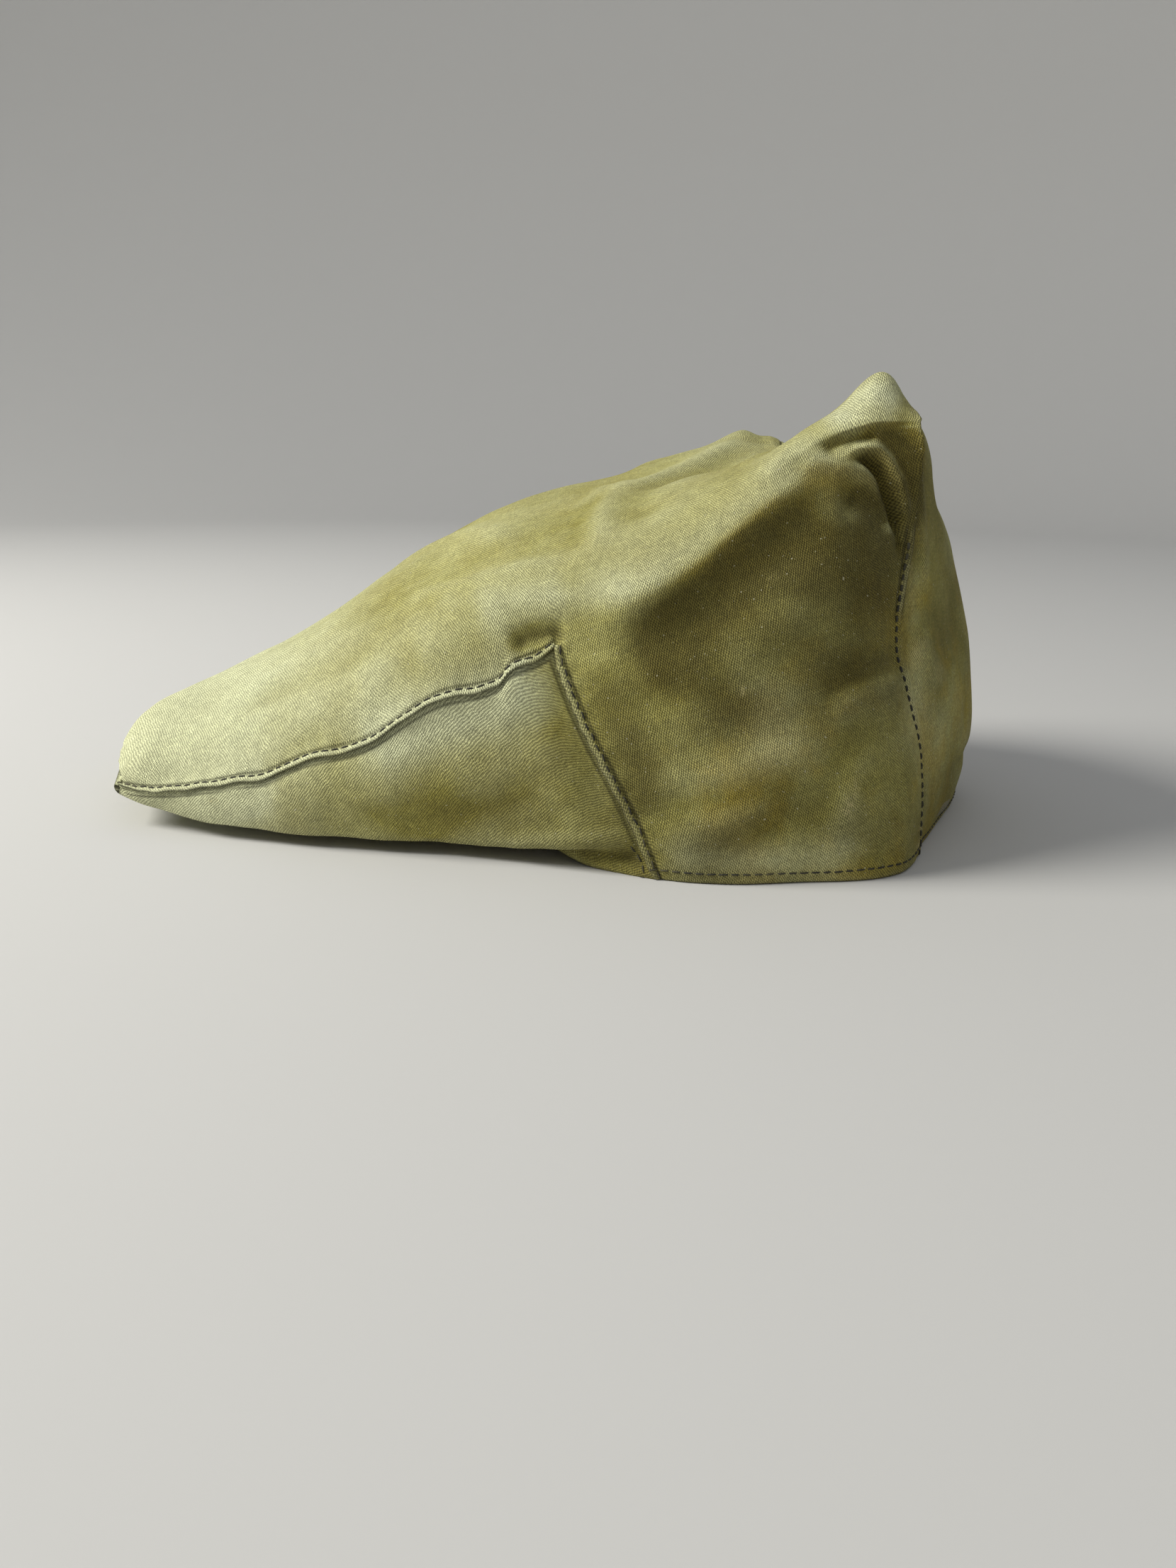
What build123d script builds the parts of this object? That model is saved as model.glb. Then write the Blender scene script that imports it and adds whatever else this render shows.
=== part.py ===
"""Soft canvas work cap with a long boxed peak, in millimetres.

The cap stands on its hem as it would on a table. +Z is up, the peak points to -X, and the wearer's left side
is at -Y. The origin is on the resting plane, under the middle of the cap's length and width.

It is sewn from three pieces of canvas. The crown panel is one piece, and makes the top of the peak, the top of
the crown and both sides. The peak panel is one piece too: it starts at the seam on one side of the peak, folds
under the peak's edge, crosses below the peak board, and rises again on the other side. The back panel closes the
rear. A board keeps the peak flat, and a sweatband lines the head opening. Each row of stitches is its own node.

Every panel is a strip-by-strip ruled skin between spline sections, with an inner skin one cloth thickness below
it. Panels that are sewn together share the same seam curves, so they meet edge to edge.
"""

from build123d import *
import os

# ---- driving dimensions ----
CLOTH = 1.2              # canvas
STRIPS = 2               # ruled strips between two control sections
COLUMNS = 13             # points across a section
BOARD = 2.0              # peak board
BOARD_GAP = 0.4          # between the board and the cloth it lies on
BOARD_INSET = 5.0        # board edge to the fold of the peak panel
BAND_BOTTOM = 4.5        # lower edge of the sweatband above the resting plane
BAND_HEIGHT = 28.0
BAND = 1.0
BAND_LEAN = 4.0          # the band's upper edge leans in with the cap's sides
TOP_SEAM_GAP = 0.6       # back panel to the top seam's curve
STITCH = 2.4             # visible length of one stitch
STITCH_PITCH = 3.3
THREAD_WIDTH = 0.6
THREAD_HEIGHT = 0.4
THREAD_GAP = 0.05
SEAM_INSET = 1.7         # stitch row to the seam it holds down
HEM_INSET = 2.8          # stitch row above the hem

# ---- control points ----
# Peak, from the blunt front edge back to the crown. Each row has the top of the peak from the left seam to the
# right one, then the fold on the left, the fold on the right, and the underside between them.
PEAK_TOP = [
    [(-136, -47, 13), (-143, -32, 14), (-148, -16, 15), (-150, 0, 15.5), (-150, 16, 16), (-146, 32, 16.5),
     (-139, 46, 17)],
    [(-125, -52, 14), (-130, -42, 20), (-135, -22, 27), (-137, 0, 29), (-136, 22, 28), (-132, 40, 22),
     (-127, 51, 16)],
    [(-105, -58, 17), (-109, -47, 27), (-114, -24, 35), (-117, 0, 38), (-115, 24, 38), (-110, 46, 29),
     (-106, 58, 18)],
    [(-80, -64, 25), (-84, -53, 39), (-88, -27, 49), (-90, 0, 52), (-88, 27, 52), (-84, 52, 41), (-80, 64, 25)],
    [(-55, -69, 36), (-58, -57, 55), (-62, -30, 66), (-64, 0, 69), (-62, 30, 70), (-58, 56, 57), (-55, 69, 36)],
    [(-35, -71, 46), (-37, -60, 66), (-39, -33, 79), (-40, 0, 84), (-39, 33, 84), (-37, 59, 69), (-35, 71, 46)],
    [(-17, -71, 55), (-18, -62, 73), (-19, -35, 87), (-20, 0, 93), (-19, 35, 93), (-18, 61, 76), (-17, 71, 55)],
    [(-2, -70, 61), (-2, -63, 77), (-1, -36, 92), (0, 0, 99), (-1, 36, 99), (-2, 62, 80), (-2, 70, 61)],
]
PEAK_FLOOR = [
    [(-136, -47, 9), (-143, -32, 10), (-148, -16, 10.5), (-150, 0, 11), (-150, 16, 11.5), (-146, 32, 12),
     (-139, 46, 12.5)],
    [(-122, -51, 6), (-131, -34, 7.5), (-136, -17, 8.5), (-138, 0, 9), (-137, 17, 9), (-132, 34, 8), (-123, 51, 7)],
    [(-102, -59, 4.5), (-113, -39, 5.5), (-118, -19, 6), (-120, 0, 6.5), (-118, 19, 6), (-113, 39, 5.5),
     (-102, 59, 5)],
    [(-78, -65, 4), (-93, -43, 4.6), (-100, -21, 5), (-102, 0, 5.2), (-100, 21, 5), (-93, 43, 4.6), (-78, 65, 4)],
    [(-50, -70, 4), (-71, -46, 4.2), (-81, -23, 4.4), (-84, 0, 4.5), (-81, 23, 4.4), (-71, 46, 4.2), (-50, 70, 4)],
    [(-27, -73, 5), (-51, -50, 4.6), (-64, -25, 4.3), (-68, 0, 4.2), (-64, 25, 4.3), (-51, 50, 4.6), (-27, 73, 5)],
    [(-3, -80, 4), (-30, -58, 3.8), (-49, -29, 3.6), (-55, 0, 3.6), (-49, 29, 3.6), (-30, 58, 3.8), (-3, 80, 4)],
    [(27, -88, 0), (6, -72, 0.4), (-26, -42, 2), (-42, 0, 3), (-26, 42, 2), (6, 72, 0.4), (27, 88, 0)],
]
# How far the sides of the peak bulge out halfway down, row by row.
PEAK_BULGE = [0, 0.6, 1.4, 2.0, 2.2, 2.0, 1.0, 0]

# Crown, from the seam at the peak to the back seam. Side points run from the hem up to the shoulder fold.
# The left rear corner stands up like an ear. The right one has slumped forward.
LEFT_SIDE = [
    [(27, -88, 0), (20, -85, 18), (12, -81, 34), (5, -76, 47), (-2, -70, 61)],
    [(46, -92, 0), (41, -89, 22), (35, -84, 42), (28, -78, 60), (21, -71, 77)],
    [(66, -90, 0), (62, -88, 25), (57, -83, 50), (51, -76, 72), (45, -67, 91)],
    [(84, -85, 0), (80, -83, 30), (75, -78, 60), (70, -71, 86), (63, -62, 107)],
    [(98, -76, 0), (94, -74, 33), (88, -70, 66), (82, -64, 96), (76, -58, 121)],
    [(108, -63, 0), (108, -63, 33), (100, -61, 66), (95, -58, 99), (88, -54, 132)],
]
CROWN_TOP = [
    PEAK_TOP[-1],
    [(21, -71, 77), (20, -61, 88), (19, -36, 99), (18, 0, 104), (18, 36, 105), (20, 60, 94), (21, 71, 77)],
    [(45, -67, 91), (44, -59, 101), (43, -36, 108), (42, 0, 108), (42, 36, 114), (44, 57, 107), (46, 67, 92)],
    [(63, -62, 107), (62, -55, 115), (61, -34, 116), (60, 0, 110), (58, 34, 117), (59, 52, 117), (61, 62, 102)],
    [(76, -58, 121), (75, -51, 127), (74, -34, 124), (72, 0, 111), (68, 32, 117), (66, 48, 119), (67, 57, 107)],
    [(88, -54, 132), (87, -46, 136), (85, -30, 129), (82, 0, 113), (77, 28, 115), (74, 43, 118), (73, 53, 111)],
]
RIGHT_SIDE = [
    [(27, 88, 0), (20, 85, 18), (12, 81, 34), (5, 76, 47), (-2, 70, 61)],
    [(46, 92, 0), (41, 89, 22), (35, 84, 42), (28, 78, 60), (21, 71, 77)],
    [(66, 90, 0), (62, 88, 25), (57, 83, 48), (51, 76, 71), (46, 67, 92)],
    [(84, 85, 0), (80, 83, 28), (74, 78, 55), (68, 71, 80), (61, 62, 102)],
    [(98, 76, 0), (93, 74, 30), (86, 70, 58), (77, 64, 84), (67, 57, 107)],
    [(108, 63, 0), (107, 63, 28), (99, 61, 56), (86, 58, 85), (73, 53, 111)],
]
# Back panel, from the hem up to the top seam. The first and last point of each row are on the back seams.
BACK = [
    [LEFT_SIDE[-1][0], (122, -45, 0), (132, -25, 0), (138, 0, 0), (132, 25, 0), (122, 45, 0), RIGHT_SIDE[-1][0]],
    [LEFT_SIDE[-1][1], (122, -45, 33), (131, -25, 32), (136.5, 0, 31), (131, 25, 30), (120, 45, 29),
     RIGHT_SIDE[-1][1]],
    [LEFT_SIDE[-1][2], (114, -44, 66), (124, -25, 64), (130, 0, 62), (124, 25, 59), (112, 44, 57),
     RIGHT_SIDE[-1][2]],
    [LEFT_SIDE[-1][3], (106, -43, 99), (114, -25, 95), (119, 0, 91), (112, 25, 88), (99, 44, 86),
     RIGHT_SIDE[-1][3]],
    CROWN_TOP[-1],
]


# Left half of the sweatband's outline, from the front of the head opening to the back.
BAND_PLAN = [(-37, 0), (-24, -33), (2, -62), (28, -81), (60, -86), (84, -80.5), (104, -62), (119, -42), (129, -22),
             (134, 0)]


def spline(points):
    return Edge.make_spline([Vector(*p) for p in points])


def resample(points, count):
    """Spread count points evenly along a spline through the given ones."""
    curve = spline(points)
    return [tuple(curve.position_at(i / (count - 1))) for i in range(count)]


def refine_rows(rows, strips):
    """Add sections between the control rows, so that the ruled strips stay narrow."""
    count = (len(rows) - 1) * strips + 1
    columns = [resample(column, count) for column in zip(*rows)]
    return [list(row) for row in zip(*columns)]


def side_of_peak(seam, fold, bulge, sign):
    """Five points from the top seam down to the fold, bowed outwards."""
    a = Vector(*seam)
    b = Vector(*fold)
    points = []
    for i in range(5):
        t = i / 4
        middle = a + (b - a) * t
        points.append((middle.X, middle.Y + sign * bulge * 4 * t * (1 - t), middle.Z))
    return points


peak_left = [side_of_peak(t[0], f[0], b, -1) for t, f, b in zip(PEAK_TOP, PEAK_FLOOR, PEAK_BULGE)]
peak_right = [side_of_peak(t[-1], f[-1], b, 1) for t, f, b in zip(PEAK_TOP, PEAK_FLOOR, PEAK_BULGE)]
peak_left[-1] = LEFT_SIDE[0][::-1]
peak_right[-1] = RIGHT_SIDE[0][::-1]

peak_top = refine_rows([resample(row, COLUMNS) for row in PEAK_TOP], STRIPS)
peak_floor = refine_rows([resample(row, COLUMNS) for row in PEAK_FLOOR], STRIPS)
peak_left = refine_rows(peak_left, STRIPS)
peak_right = refine_rows(peak_right, STRIPS)
left_side = refine_rows(LEFT_SIDE, STRIPS)
crown_top = refine_rows([resample(row, COLUMNS) for row in CROWN_TOP], STRIPS)
right_side = refine_rows(RIGHT_SIDE, STRIPS)
back = [resample(row, COLUMNS) for row in BACK]
back_sections = [list(column) for column in zip(*back)]


# ---- inner skin: every point moves one cloth thickness in, square to the skins that meet at it ----
def key(point):
    return tuple(round(c, 3) for c in point)


normal_sum = {}
normal_list = {}


def add_normals(grid, outward):
    """Collect the face normals of a grid at its points. outward is 1 or -1, by the grid's turning sense."""
    for row_a, row_b in zip(grid, grid[1:]):
        for i in range(len(row_a) - 1):
            corners = [row_a[i], row_a[i + 1], row_b[i + 1], row_b[i]]
            a, b, c, d = [Vector(*p) for p in corners]
            normal = (c - a).cross(d - b)
            if normal.length < 1e-6:
                continue
            normal = normal.normalized() * outward
            for p in corners:
                normal_sum[key(p)] = normal_sum.get(key(p), Vector(0, 0, 0)) + normal
                normal_list.setdefault(key(p), []).append(normal)


def inner_point(point):
    normal = normal_sum[key(point)].normalized()
    spread = min(normal.dot(n) for n in normal_list[key(point)])
    shift = normal * (-CLOTH / max(spread, 0.55))
    if point[2] < 1e-6:
        shift = Vector(shift.X, shift.Y, 0).normalized() * CLOTH
    return tuple(Vector(*point) + shift)


def inner(grid):
    return [[inner_point(p) for p in row] for row in grid]


def straight(row):
    """The same number of points, on a line between the first and the last."""
    a = Vector(*row[0])
    b = Vector(*row[-1])
    return [tuple(a + (b - a) * (i / (len(row) - 1))) for i in range(len(row))]


front_wall = [peak_top[0], peak_floor[0]]
add_normals(peak_top, -1)
add_normals(peak_floor, 1)
add_normals(peak_left, 1)
add_normals(peak_right, -1)
add_normals(front_wall, -1)
add_normals(left_side, -1)
add_normals(crown_top, -1)
add_normals(right_side, 1)
add_normals(back_sections, -1)


# ---- panels ----
def skin(sections):
    edges = [spline(row) for row in sections]
    return [Face.make_surface_from_curves(a, b) for a, b in zip(edges, edges[1:])]


def end_strip(outer_row, inner_row):
    """Cloth edge along a section."""
    return Face.make_surface_from_curves(spline(outer_row), spline(inner_row))


def side_strips(outer_rows, inner_rows, column):
    """Cloth edge along the ends of the sections. On the hem it is flat, for the cap to stand on."""
    faces = []
    for i in range(len(outer_rows) - 1):
        corners = [outer_rows[i][column], outer_rows[i + 1][column], inner_rows[i + 1][column], inner_rows[i][column]]
        a, b, c, d = [Vector(*p) for p in corners]
        if max(abs(p.Z) for p in (a, b, c, d)) < 1e-6:
            faces.append(Face(Wire.make_polygon([a, b, c, d], close=True)))
        else:
            faces.append(Face.make_surface_from_curves(Edge.make_line(a, b), Edge.make_line(d, c)))
    return faces


def closed(faces):
    shell = Shell(faces)
    solid = Solid(shell)
    if solid.volume < 0:
        solid = -solid
    return solid


def crown_panel():
    faces = []
    peak_in = inner(peak_top)
    top_in = inner(crown_top)
    left_in = inner(left_side)
    right_in = inner(right_side)
    for grid in (peak_top, peak_in, crown_top, top_in, left_side, left_in, right_side, right_in):
        faces += skin(grid)
    faces.append(end_strip(peak_top[0], peak_in[0]))
    faces += side_strips(peak_top, peak_in, 0)
    faces += side_strips(peak_top, peak_in, -1)
    for outer_rows, inner_rows in ((left_side, left_in), (right_side, right_in)):
        faces.append(end_strip(outer_rows[0], inner_rows[0]))
        faces.append(end_strip(outer_rows[-1], inner_rows[-1]))
        faces += side_strips(outer_rows, inner_rows, 0)
    faces.append(end_strip(crown_top[-1], top_in[-1]))
    return closed(faces)


def peak_panel():
    faces = []
    floor_in = inner(peak_floor)
    left_in = inner(peak_left)
    right_in = inner(peak_right)
    left_in[0] = straight(left_in[0])
    right_in[0] = straight(right_in[0])
    wall_in = inner(front_wall)
    for grid in (peak_floor, floor_in, peak_left, left_in, peak_right, right_in, front_wall, wall_in):
        faces += skin(grid)
    faces.append(end_strip(front_wall[0], wall_in[0]))
    faces.append(end_strip(peak_floor[-1], floor_in[-1]))
    for outer_rows, inner_rows in ((peak_left, left_in), (peak_right, right_in)):
        faces += side_strips(outer_rows, inner_rows, 0)
        faces.append(end_strip(outer_rows[-1], inner_rows[-1]))
    return closed(faces)


def back_panel():
    sections = back_sections[:1] + [lowered_top(s) for s in back_sections[1:-1]] + back_sections[-1:]
    back_in = inner(back_sections)
    back_in = back_in[:1] + [lowered_top(s) for s in back_in[1:-1]] + back_in[-1:]
    faces = skin(sections) + skin(back_in)
    faces.append(end_strip(sections[0], back_in[0]))
    faces.append(end_strip(sections[-1], back_in[-1]))
    faces += side_strips(sections, back_in, 0)
    faces += side_strips(sections, back_in, -1)
    return closed(faces)


def lowered_top(section):
    """The back panel stops just short of the curved top seam, which its narrow strips cut across."""
    x, y, z = section[-1]
    return section[:-1] + [(x, y, z - TOP_SEAM_GAP)]


def peak_board():
    rows = []
    for row in inner(peak_floor)[1:-1]:
        half = max(abs(y) for x, y, z in row)
        rows.append([(x, y * (half - BOARD_INSET) / half, z + BOARD_GAP) for x, y, z in row])
    above = [[(x, y, z + BOARD) for x, y, z in row] for row in rows]
    faces = skin(rows) + skin(above)
    faces.append(end_strip(rows[0], above[0]))
    faces.append(end_strip(rows[-1], above[-1]))
    faces += side_strips(rows, above, 0)
    faces += side_strips(rows, above, -1)
    return closed(faces)


def band_loop(inset, z):
    """Head opening's outline, drawn in by inset towards the middle of the opening."""
    middle = Vector(48, 0, 0)
    points = []
    for x, y in BAND_PLAN + [(x, -y) for x, y in BAND_PLAN[-2:0:-1]]:
        out = Vector(x, y, 0) - middle
        out = out * (1 - inset / out.length)
        points.append(Vector(middle.X + out.X, middle.Y + out.Y, z))
    return Wire(Edge.make_spline(points, periodic=True))


def sweatband():
    top = BAND_BOTTOM + BAND_HEIGHT
    outside = Solid.make_loft([band_loop(0, BAND_BOTTOM), band_loop(BAND_LEAN, top)])
    inside = Solid.make_loft([band_loop(BAND, BAND_BOTTOM - 0.01), band_loop(BAND_LEAN + BAND, top + 0.01)])
    return outside - inside


# ---- stitches ----
def stitch_row(faces, seam_points, neighbour_points, inset):
    """Separate stitches lying on the cloth, beside a seam and parallel to it."""
    seam = spline(seam_points)
    neighbour = spline(neighbour_points)
    surface = Shell(faces)
    count = int((seam.length - STITCH_PITCH) / STITCH_PITCH)
    stitches = []
    for i in range(count):
        u = (i + 1) / (count + 1)
        foot = seam.position_at(u)
        along = seam.tangent_at(u)
        across = neighbour.position_at(u) - foot
        across = (across - along * across.dot(along)).normalized()
        nearest = min(normal_sum, key=lambda k: (Vector(*k) - foot).length)
        outward = normal_sum[nearest].normalized()
        guide = foot + across * inset
        for reach in (2.0, 1.0):
            raised = guide + outward * reach
            touch = surface.distance_to_with_closest_points(Vertex(*raised))[1]
            if (touch - raised).length < 1e-6:
                touch = surface.distance_to_with_closest_points(Vertex(*raised))[2]
            outward = (raised - touch).normalized()
            guide = touch
        centre = guide + outward * (THREAD_GAP + THREAD_HEIGHT / 2)
        place = Plane(origin=centre, x_dir=along, z_dir=outward)
        stitches.append(place * Box(STITCH, THREAD_WIDTH, THREAD_HEIGHT))
    return stitches


def column(grid, index):
    return [row[index] for row in grid]


peak_top_faces = skin(peak_top)
left_faces = skin(left_side)
right_faces = skin(right_side)
top_faces = skin(crown_top)
back_faces = skin(back_sections)
floor_faces = skin(peak_floor)

stitch_rows = {
    "front_edge_stitches": stitch_row(peak_top_faces, peak_top[0], peak_top[1], SEAM_INSET),
    "left_peak_seam_stitches": stitch_row(peak_top_faces, column(peak_top, 0), column(peak_top, 1), SEAM_INSET),
    "right_peak_seam_stitches": stitch_row(peak_top_faces, column(peak_top, -1), column(peak_top, -2), SEAM_INSET),
    "left_side_seam_stitches": stitch_row(left_faces, left_side[0], left_side[1], SEAM_INSET),
    "right_side_seam_stitches": stitch_row(right_faces, right_side[0], right_side[1], SEAM_INSET),
    "left_back_seam_stitches": stitch_row(left_faces, left_side[-1], left_side[-2], SEAM_INSET),
    "right_back_seam_stitches": stitch_row(right_faces, right_side[-1], right_side[-2], SEAM_INSET),
    "back_top_seam_stitches": stitch_row(top_faces, crown_top[-1], crown_top[-2], SEAM_INSET),
    "hem_stitches": stitch_row(left_faces, column(left_side, 0), column(left_side, 1), HEM_INSET)
    + stitch_row(back_faces, back[0], back[1], HEM_INSET)
    + stitch_row(right_faces, column(right_side, 0), column(right_side, 1), HEM_INSET),
    "opening_edge_stitches": stitch_row(floor_faces, peak_floor[-1], peak_floor[-2], HEM_INSET),
}

parts = {
    "crown_panel": crown_panel(),
    "peak_panel": peak_panel(),
    "back_panel": back_panel(),
    "peak_board": peak_board(),
    "sweatband": sweatband(),
}
for name, stitches in stitch_rows.items():
    parts[name] = Compound(stitches)

# The control points count from the middle of the head opening. The part's origin is under the whole cap's middle.
middle = Compound(list(parts.values())).bounding_box().center()
os.makedirs("parts", exist_ok=True)
for name, shape in parts.items():
    placed = shape.moved(Location((-middle.X, -middle.Y, 0)))
    placed.label = name
    print(name, type(placed).__name__, placed.is_valid, round(placed.volume), placed.bounding_box())
    export_step(placed, f"parts/{name}.step")
hem_faces = [face for face in parts["crown_panel"].faces() if abs(face.bounding_box().max.Z) < 1e-4]
widest = max(hem_faces, key=lambda face: face.area)
print("moved by", -middle.X, -middle.Y, "widest hem face at", widest.center(), widest.normal_at())
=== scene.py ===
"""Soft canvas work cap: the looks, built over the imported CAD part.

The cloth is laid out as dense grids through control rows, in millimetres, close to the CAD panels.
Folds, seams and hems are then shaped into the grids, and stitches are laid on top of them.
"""

import math

import bpy
import numpy as np
from mathutils import Matrix, Vector


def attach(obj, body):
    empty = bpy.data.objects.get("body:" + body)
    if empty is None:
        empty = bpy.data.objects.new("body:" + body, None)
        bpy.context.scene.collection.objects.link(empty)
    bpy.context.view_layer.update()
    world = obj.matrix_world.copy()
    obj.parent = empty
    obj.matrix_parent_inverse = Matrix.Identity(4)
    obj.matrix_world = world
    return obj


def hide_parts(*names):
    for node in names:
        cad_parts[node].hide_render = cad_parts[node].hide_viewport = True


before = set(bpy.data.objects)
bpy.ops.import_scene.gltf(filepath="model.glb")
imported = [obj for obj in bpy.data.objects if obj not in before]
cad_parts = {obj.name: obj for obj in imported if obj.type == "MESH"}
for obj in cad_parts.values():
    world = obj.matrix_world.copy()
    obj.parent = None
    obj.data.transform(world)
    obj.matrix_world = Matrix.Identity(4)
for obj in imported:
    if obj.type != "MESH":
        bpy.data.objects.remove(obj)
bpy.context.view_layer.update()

MM = 0.001
SHIFT_X = 6.533          # control points count from the middle of the head opening
CLOTH = 0.9              # canvas thickness
WELT = 1.8               # from a seam's folded edge to its stitch row
PITCH = 3.2              # stitch pitch
HEM_ROW = 3.5            # stitch row above the hem
HEM_ROUND = 0.95         # radius that the hem curls in at
YARNS = (0.36, 0.58)     # widths of the warp and weft yarns
STITCHED_TO = 92         # the ears fold over the back seams above this height, and hide the stitches there
SEAM_REACH = 24          # columns of points that follow a seam inwards

# ---------------------------------------------------------------- control rows, in millimetres
# The peak's top, from its blunt front edge back to the crown. Each row runs from the left seam to the right
# one.
PEAK_TOP = [
    [(-136.5, -47, 12.5), (-140, -33, 13.5), (-144, -17, 14.5), (-146.5, 0, 15), (-147.5, 17, 15.5),
     (-145, 33, 16), (-139, 47, 16.5)],
    [(-125, -52, 12.5), (-129, -42, 20), (-132, -22, 28.5), (-133, 0, 31), (-132.5, 22, 30), (-129, 40, 23),
     (-125, 51, 15.5)],
    [(-105, -57.5, 16), (-109, -47, 27), (-114, -24, 35), (-117, 0, 38), (-115, 24, 38), (-110, 46, 29),
     (-106, 58, 17)],
    [(-80, -64, 24.5), (-84, -53, 38), (-88, -27, 48.5), (-90, 0, 52), (-88, 27, 52), (-84, 52, 41),
     (-80, 64, 24.5)],
    [(-55, -69, 34.5), (-57, -56, 53), (-61, -30, 64.5), (-64, 0, 68.5), (-62, 30, 69), (-58, 56, 57),
     (-55, 69, 34.5)],
    [(-35, -71, 46), (-36, -59, 65.5), (-38, -34, 77), (-40, 0, 84), (-39, 33, 84), (-37, 59, 69),
     (-35, 71, 46)],
    [(-17, -72, 54), (-18, -63, 71.5), (-19, -38, 84), (-20, 0, 93), (-20, 36, 93), (-19, 62, 75),
     (-17, 72, 54)],
    [(-2, -70, 61.5), (-4, -66, 73.5), (-2, -42, 88), (0, 0, 99), (-1, 36, 99.5), (-3, 63, 79),
     (-2, 70, 61.5)],
]
# The peak's underside, row for row: from the fold on the left to the fold on the right. The last row is the
# front edge of the head opening.
PEAK_FLOOR = [
    [(-136.5, -47, 10.3), (-137, -43.5, 10.3), (-140, -33, 10.8), (-144, -17, 11.2), (-146.5, 0, 11.5),
     (-147.5, 17, 12), (-145, 33, 12.3), (-140, 43.5, 12.5), (-139, 47, 12.5)],
    [(-122, -51, 6), (-123, -48, 6), (-130, -34, 7.5), (-135, -17, 8.5), (-137, 0, 9), (-136, 17, 9),
     (-131, 34, 8), (-124, 48, 7), (-123, 51, 7)],
    [(-102, -59, 4.5), (-103.5, -55.5, 4.4), (-113, -39, 5.5), (-118, -19, 6), (-120, 0, 6.5),
     (-118, 19, 6), (-113, 39, 5.5), (-103.5, 55.5, 5), (-102, 59, 5)],
    [(-78, -65, 4), (-80, -61.5, 3.9), (-93, -43, 4.6), (-100, -21, 5), (-102, 0, 5.2), (-100, 21, 5),
     (-93, 43, 4.6), (-80, 61.5, 3.9), (-78, 65, 4)],
    [(-50, -70, 4), (-53, -66.5, 3.8), (-71, -46, 4.2), (-81, -23, 4.4), (-84, 0, 4.5), (-81, 23, 4.4),
     (-71, 46, 4.2), (-53, 66.5, 3.8), (-50, 70, 4)],
    [(-27, -73.5, 4.6), (-31, -69.5, 4.0), (-51, -50, 4.6), (-64, -25, 4.3), (-68, 0, 4.2), (-64, 25, 4.3),
     (-51, 50, 4.6), (-31, 69.5, 4), (-27, 73.5, 4.6)],
    [(-3, -80.5, 5.4), (-8, -75, 3.2), (-30, -57, 3.6), (-49, -29, 3.6), (-55, 0, 3.6), (-49, 29, 3.6),
     (-30, 57, 3.6), (-8, 75, 3.2), (-3, 80.5, 5.4)],
    [(23, -86, 9.6), (27, -88, 0), (7, -71, 0.2), (-25, -42, 2), (-42, 0, 3), (-25, 42, 2), (7, 71, 0.2),
     (27, 88, 0), (23, 86, 9.6)],
]
PEAK_BULGE = [0, 0.6, 1.4, 2.2, 2.6, 2.4, 1.2, 0]
# The crown's sides, from the seam beside the peak to the back seam, each from the hem up to the shoulder
# fold.
LEFT_SIDE = [
    [(27, -88, 0), (20.5, -85, 15.5), (13, -81.5, 29), (5, -76, 44), (-2, -70, 61.5)],
    [(46, -92, 0), (42, -89.5, 22), (36, -84.5, 42), (29, -78, 60), (21, -71, 77)],
    [(66, -89.5, 0), (62, -87.5, 25), (57, -82.5, 50), (51, -75.5, 72), (45, -67, 91)],
    [(82, -87.5, 0), (80, -84, 30), (75, -77.5, 60), (70, -70.5, 86), (63, -62, 107)],
    [(97, -81, 0), (95.5, -76.5, 31), (88.5, -69.5, 64), (83, -64, 96), (77, -58, 120)],
    [(103, -73, 0), (101, -70, 31), (92.5, -65.5, 64), (90.5, -61, 96), (88, -56.5, 122)],
    [(107, -64, 0), (105, -63, 30), (96.5, -61, 64), (98, -58, 96), (99, -54, 122)],
]
CROWN_TOP = [
    [(21, -71, 77), (20, -61, 88), (19, -36, 99), (18, 0, 104), (18, 36, 105), (20, 60, 94), (21, 71, 77)],
    [(45, -67, 91), (44, -59, 101), (43, -36, 107), (42, 0, 107), (42, 36, 114), (44, 57, 108), (46, 67, 92)],
    [(63, -62, 107), (62, -55, 115), (61, -34, 115), (60, 0, 109), (59, 32, 117), (61, 50, 120.5),
     (61, 62, 103)],
    [(77, -58, 120), (77, -51, 125), (74, -34, 122.5), (69, -4, 111), (67, 30, 116), (67, 46, 119),
     (67, 57, 107)],
    [(88, -56.5, 122), (87.5, -52, 136.8), (80, -37.5, 127), (72, -8, 112.8), (70.5, 28, 116),
     (71.5, 44.5, 118.5), (71, 55, 109)],
    [(99, -54, 122), (97, -42, 128), (85, -27, 121.5), (75, -4, 112), (74.5, 26, 113.5), (75, 42.5, 116),
     (73, 53, 110)],
]
RIGHT_SIDE = [
    [(27, 88, 0), (20.5, 85, 15.5), (13, 81.5, 29), (5, 76, 44), (-2, 70, 61.5)],
    [(46, 92, 0), (41, 89, 22), (35, 84, 42), (28, 78, 60), (21, 71, 77)],
    [(66, 90, 0), (62, 88, 25), (57, 83, 48), (51, 76, 71), (46, 67, 92)],
    [(84, 86, 0), (80, 83, 28), (74, 78, 55), (68, 71, 80), (61, 62, 103)],
    [(98, 78, 0), (93, 74, 30), (86, 70, 58), (77, 64, 84), (67, 57, 107)],
    [(103, 71.5, 0), (100.5, 69, 29), (93, 65.5, 57), (82, 61, 84.5), (71, 55, 109)],
    [(107, 64, 0), (107, 63, 28), (99, 61, 56), (86, 58, 85), (73, 53, 110)],
]
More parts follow.
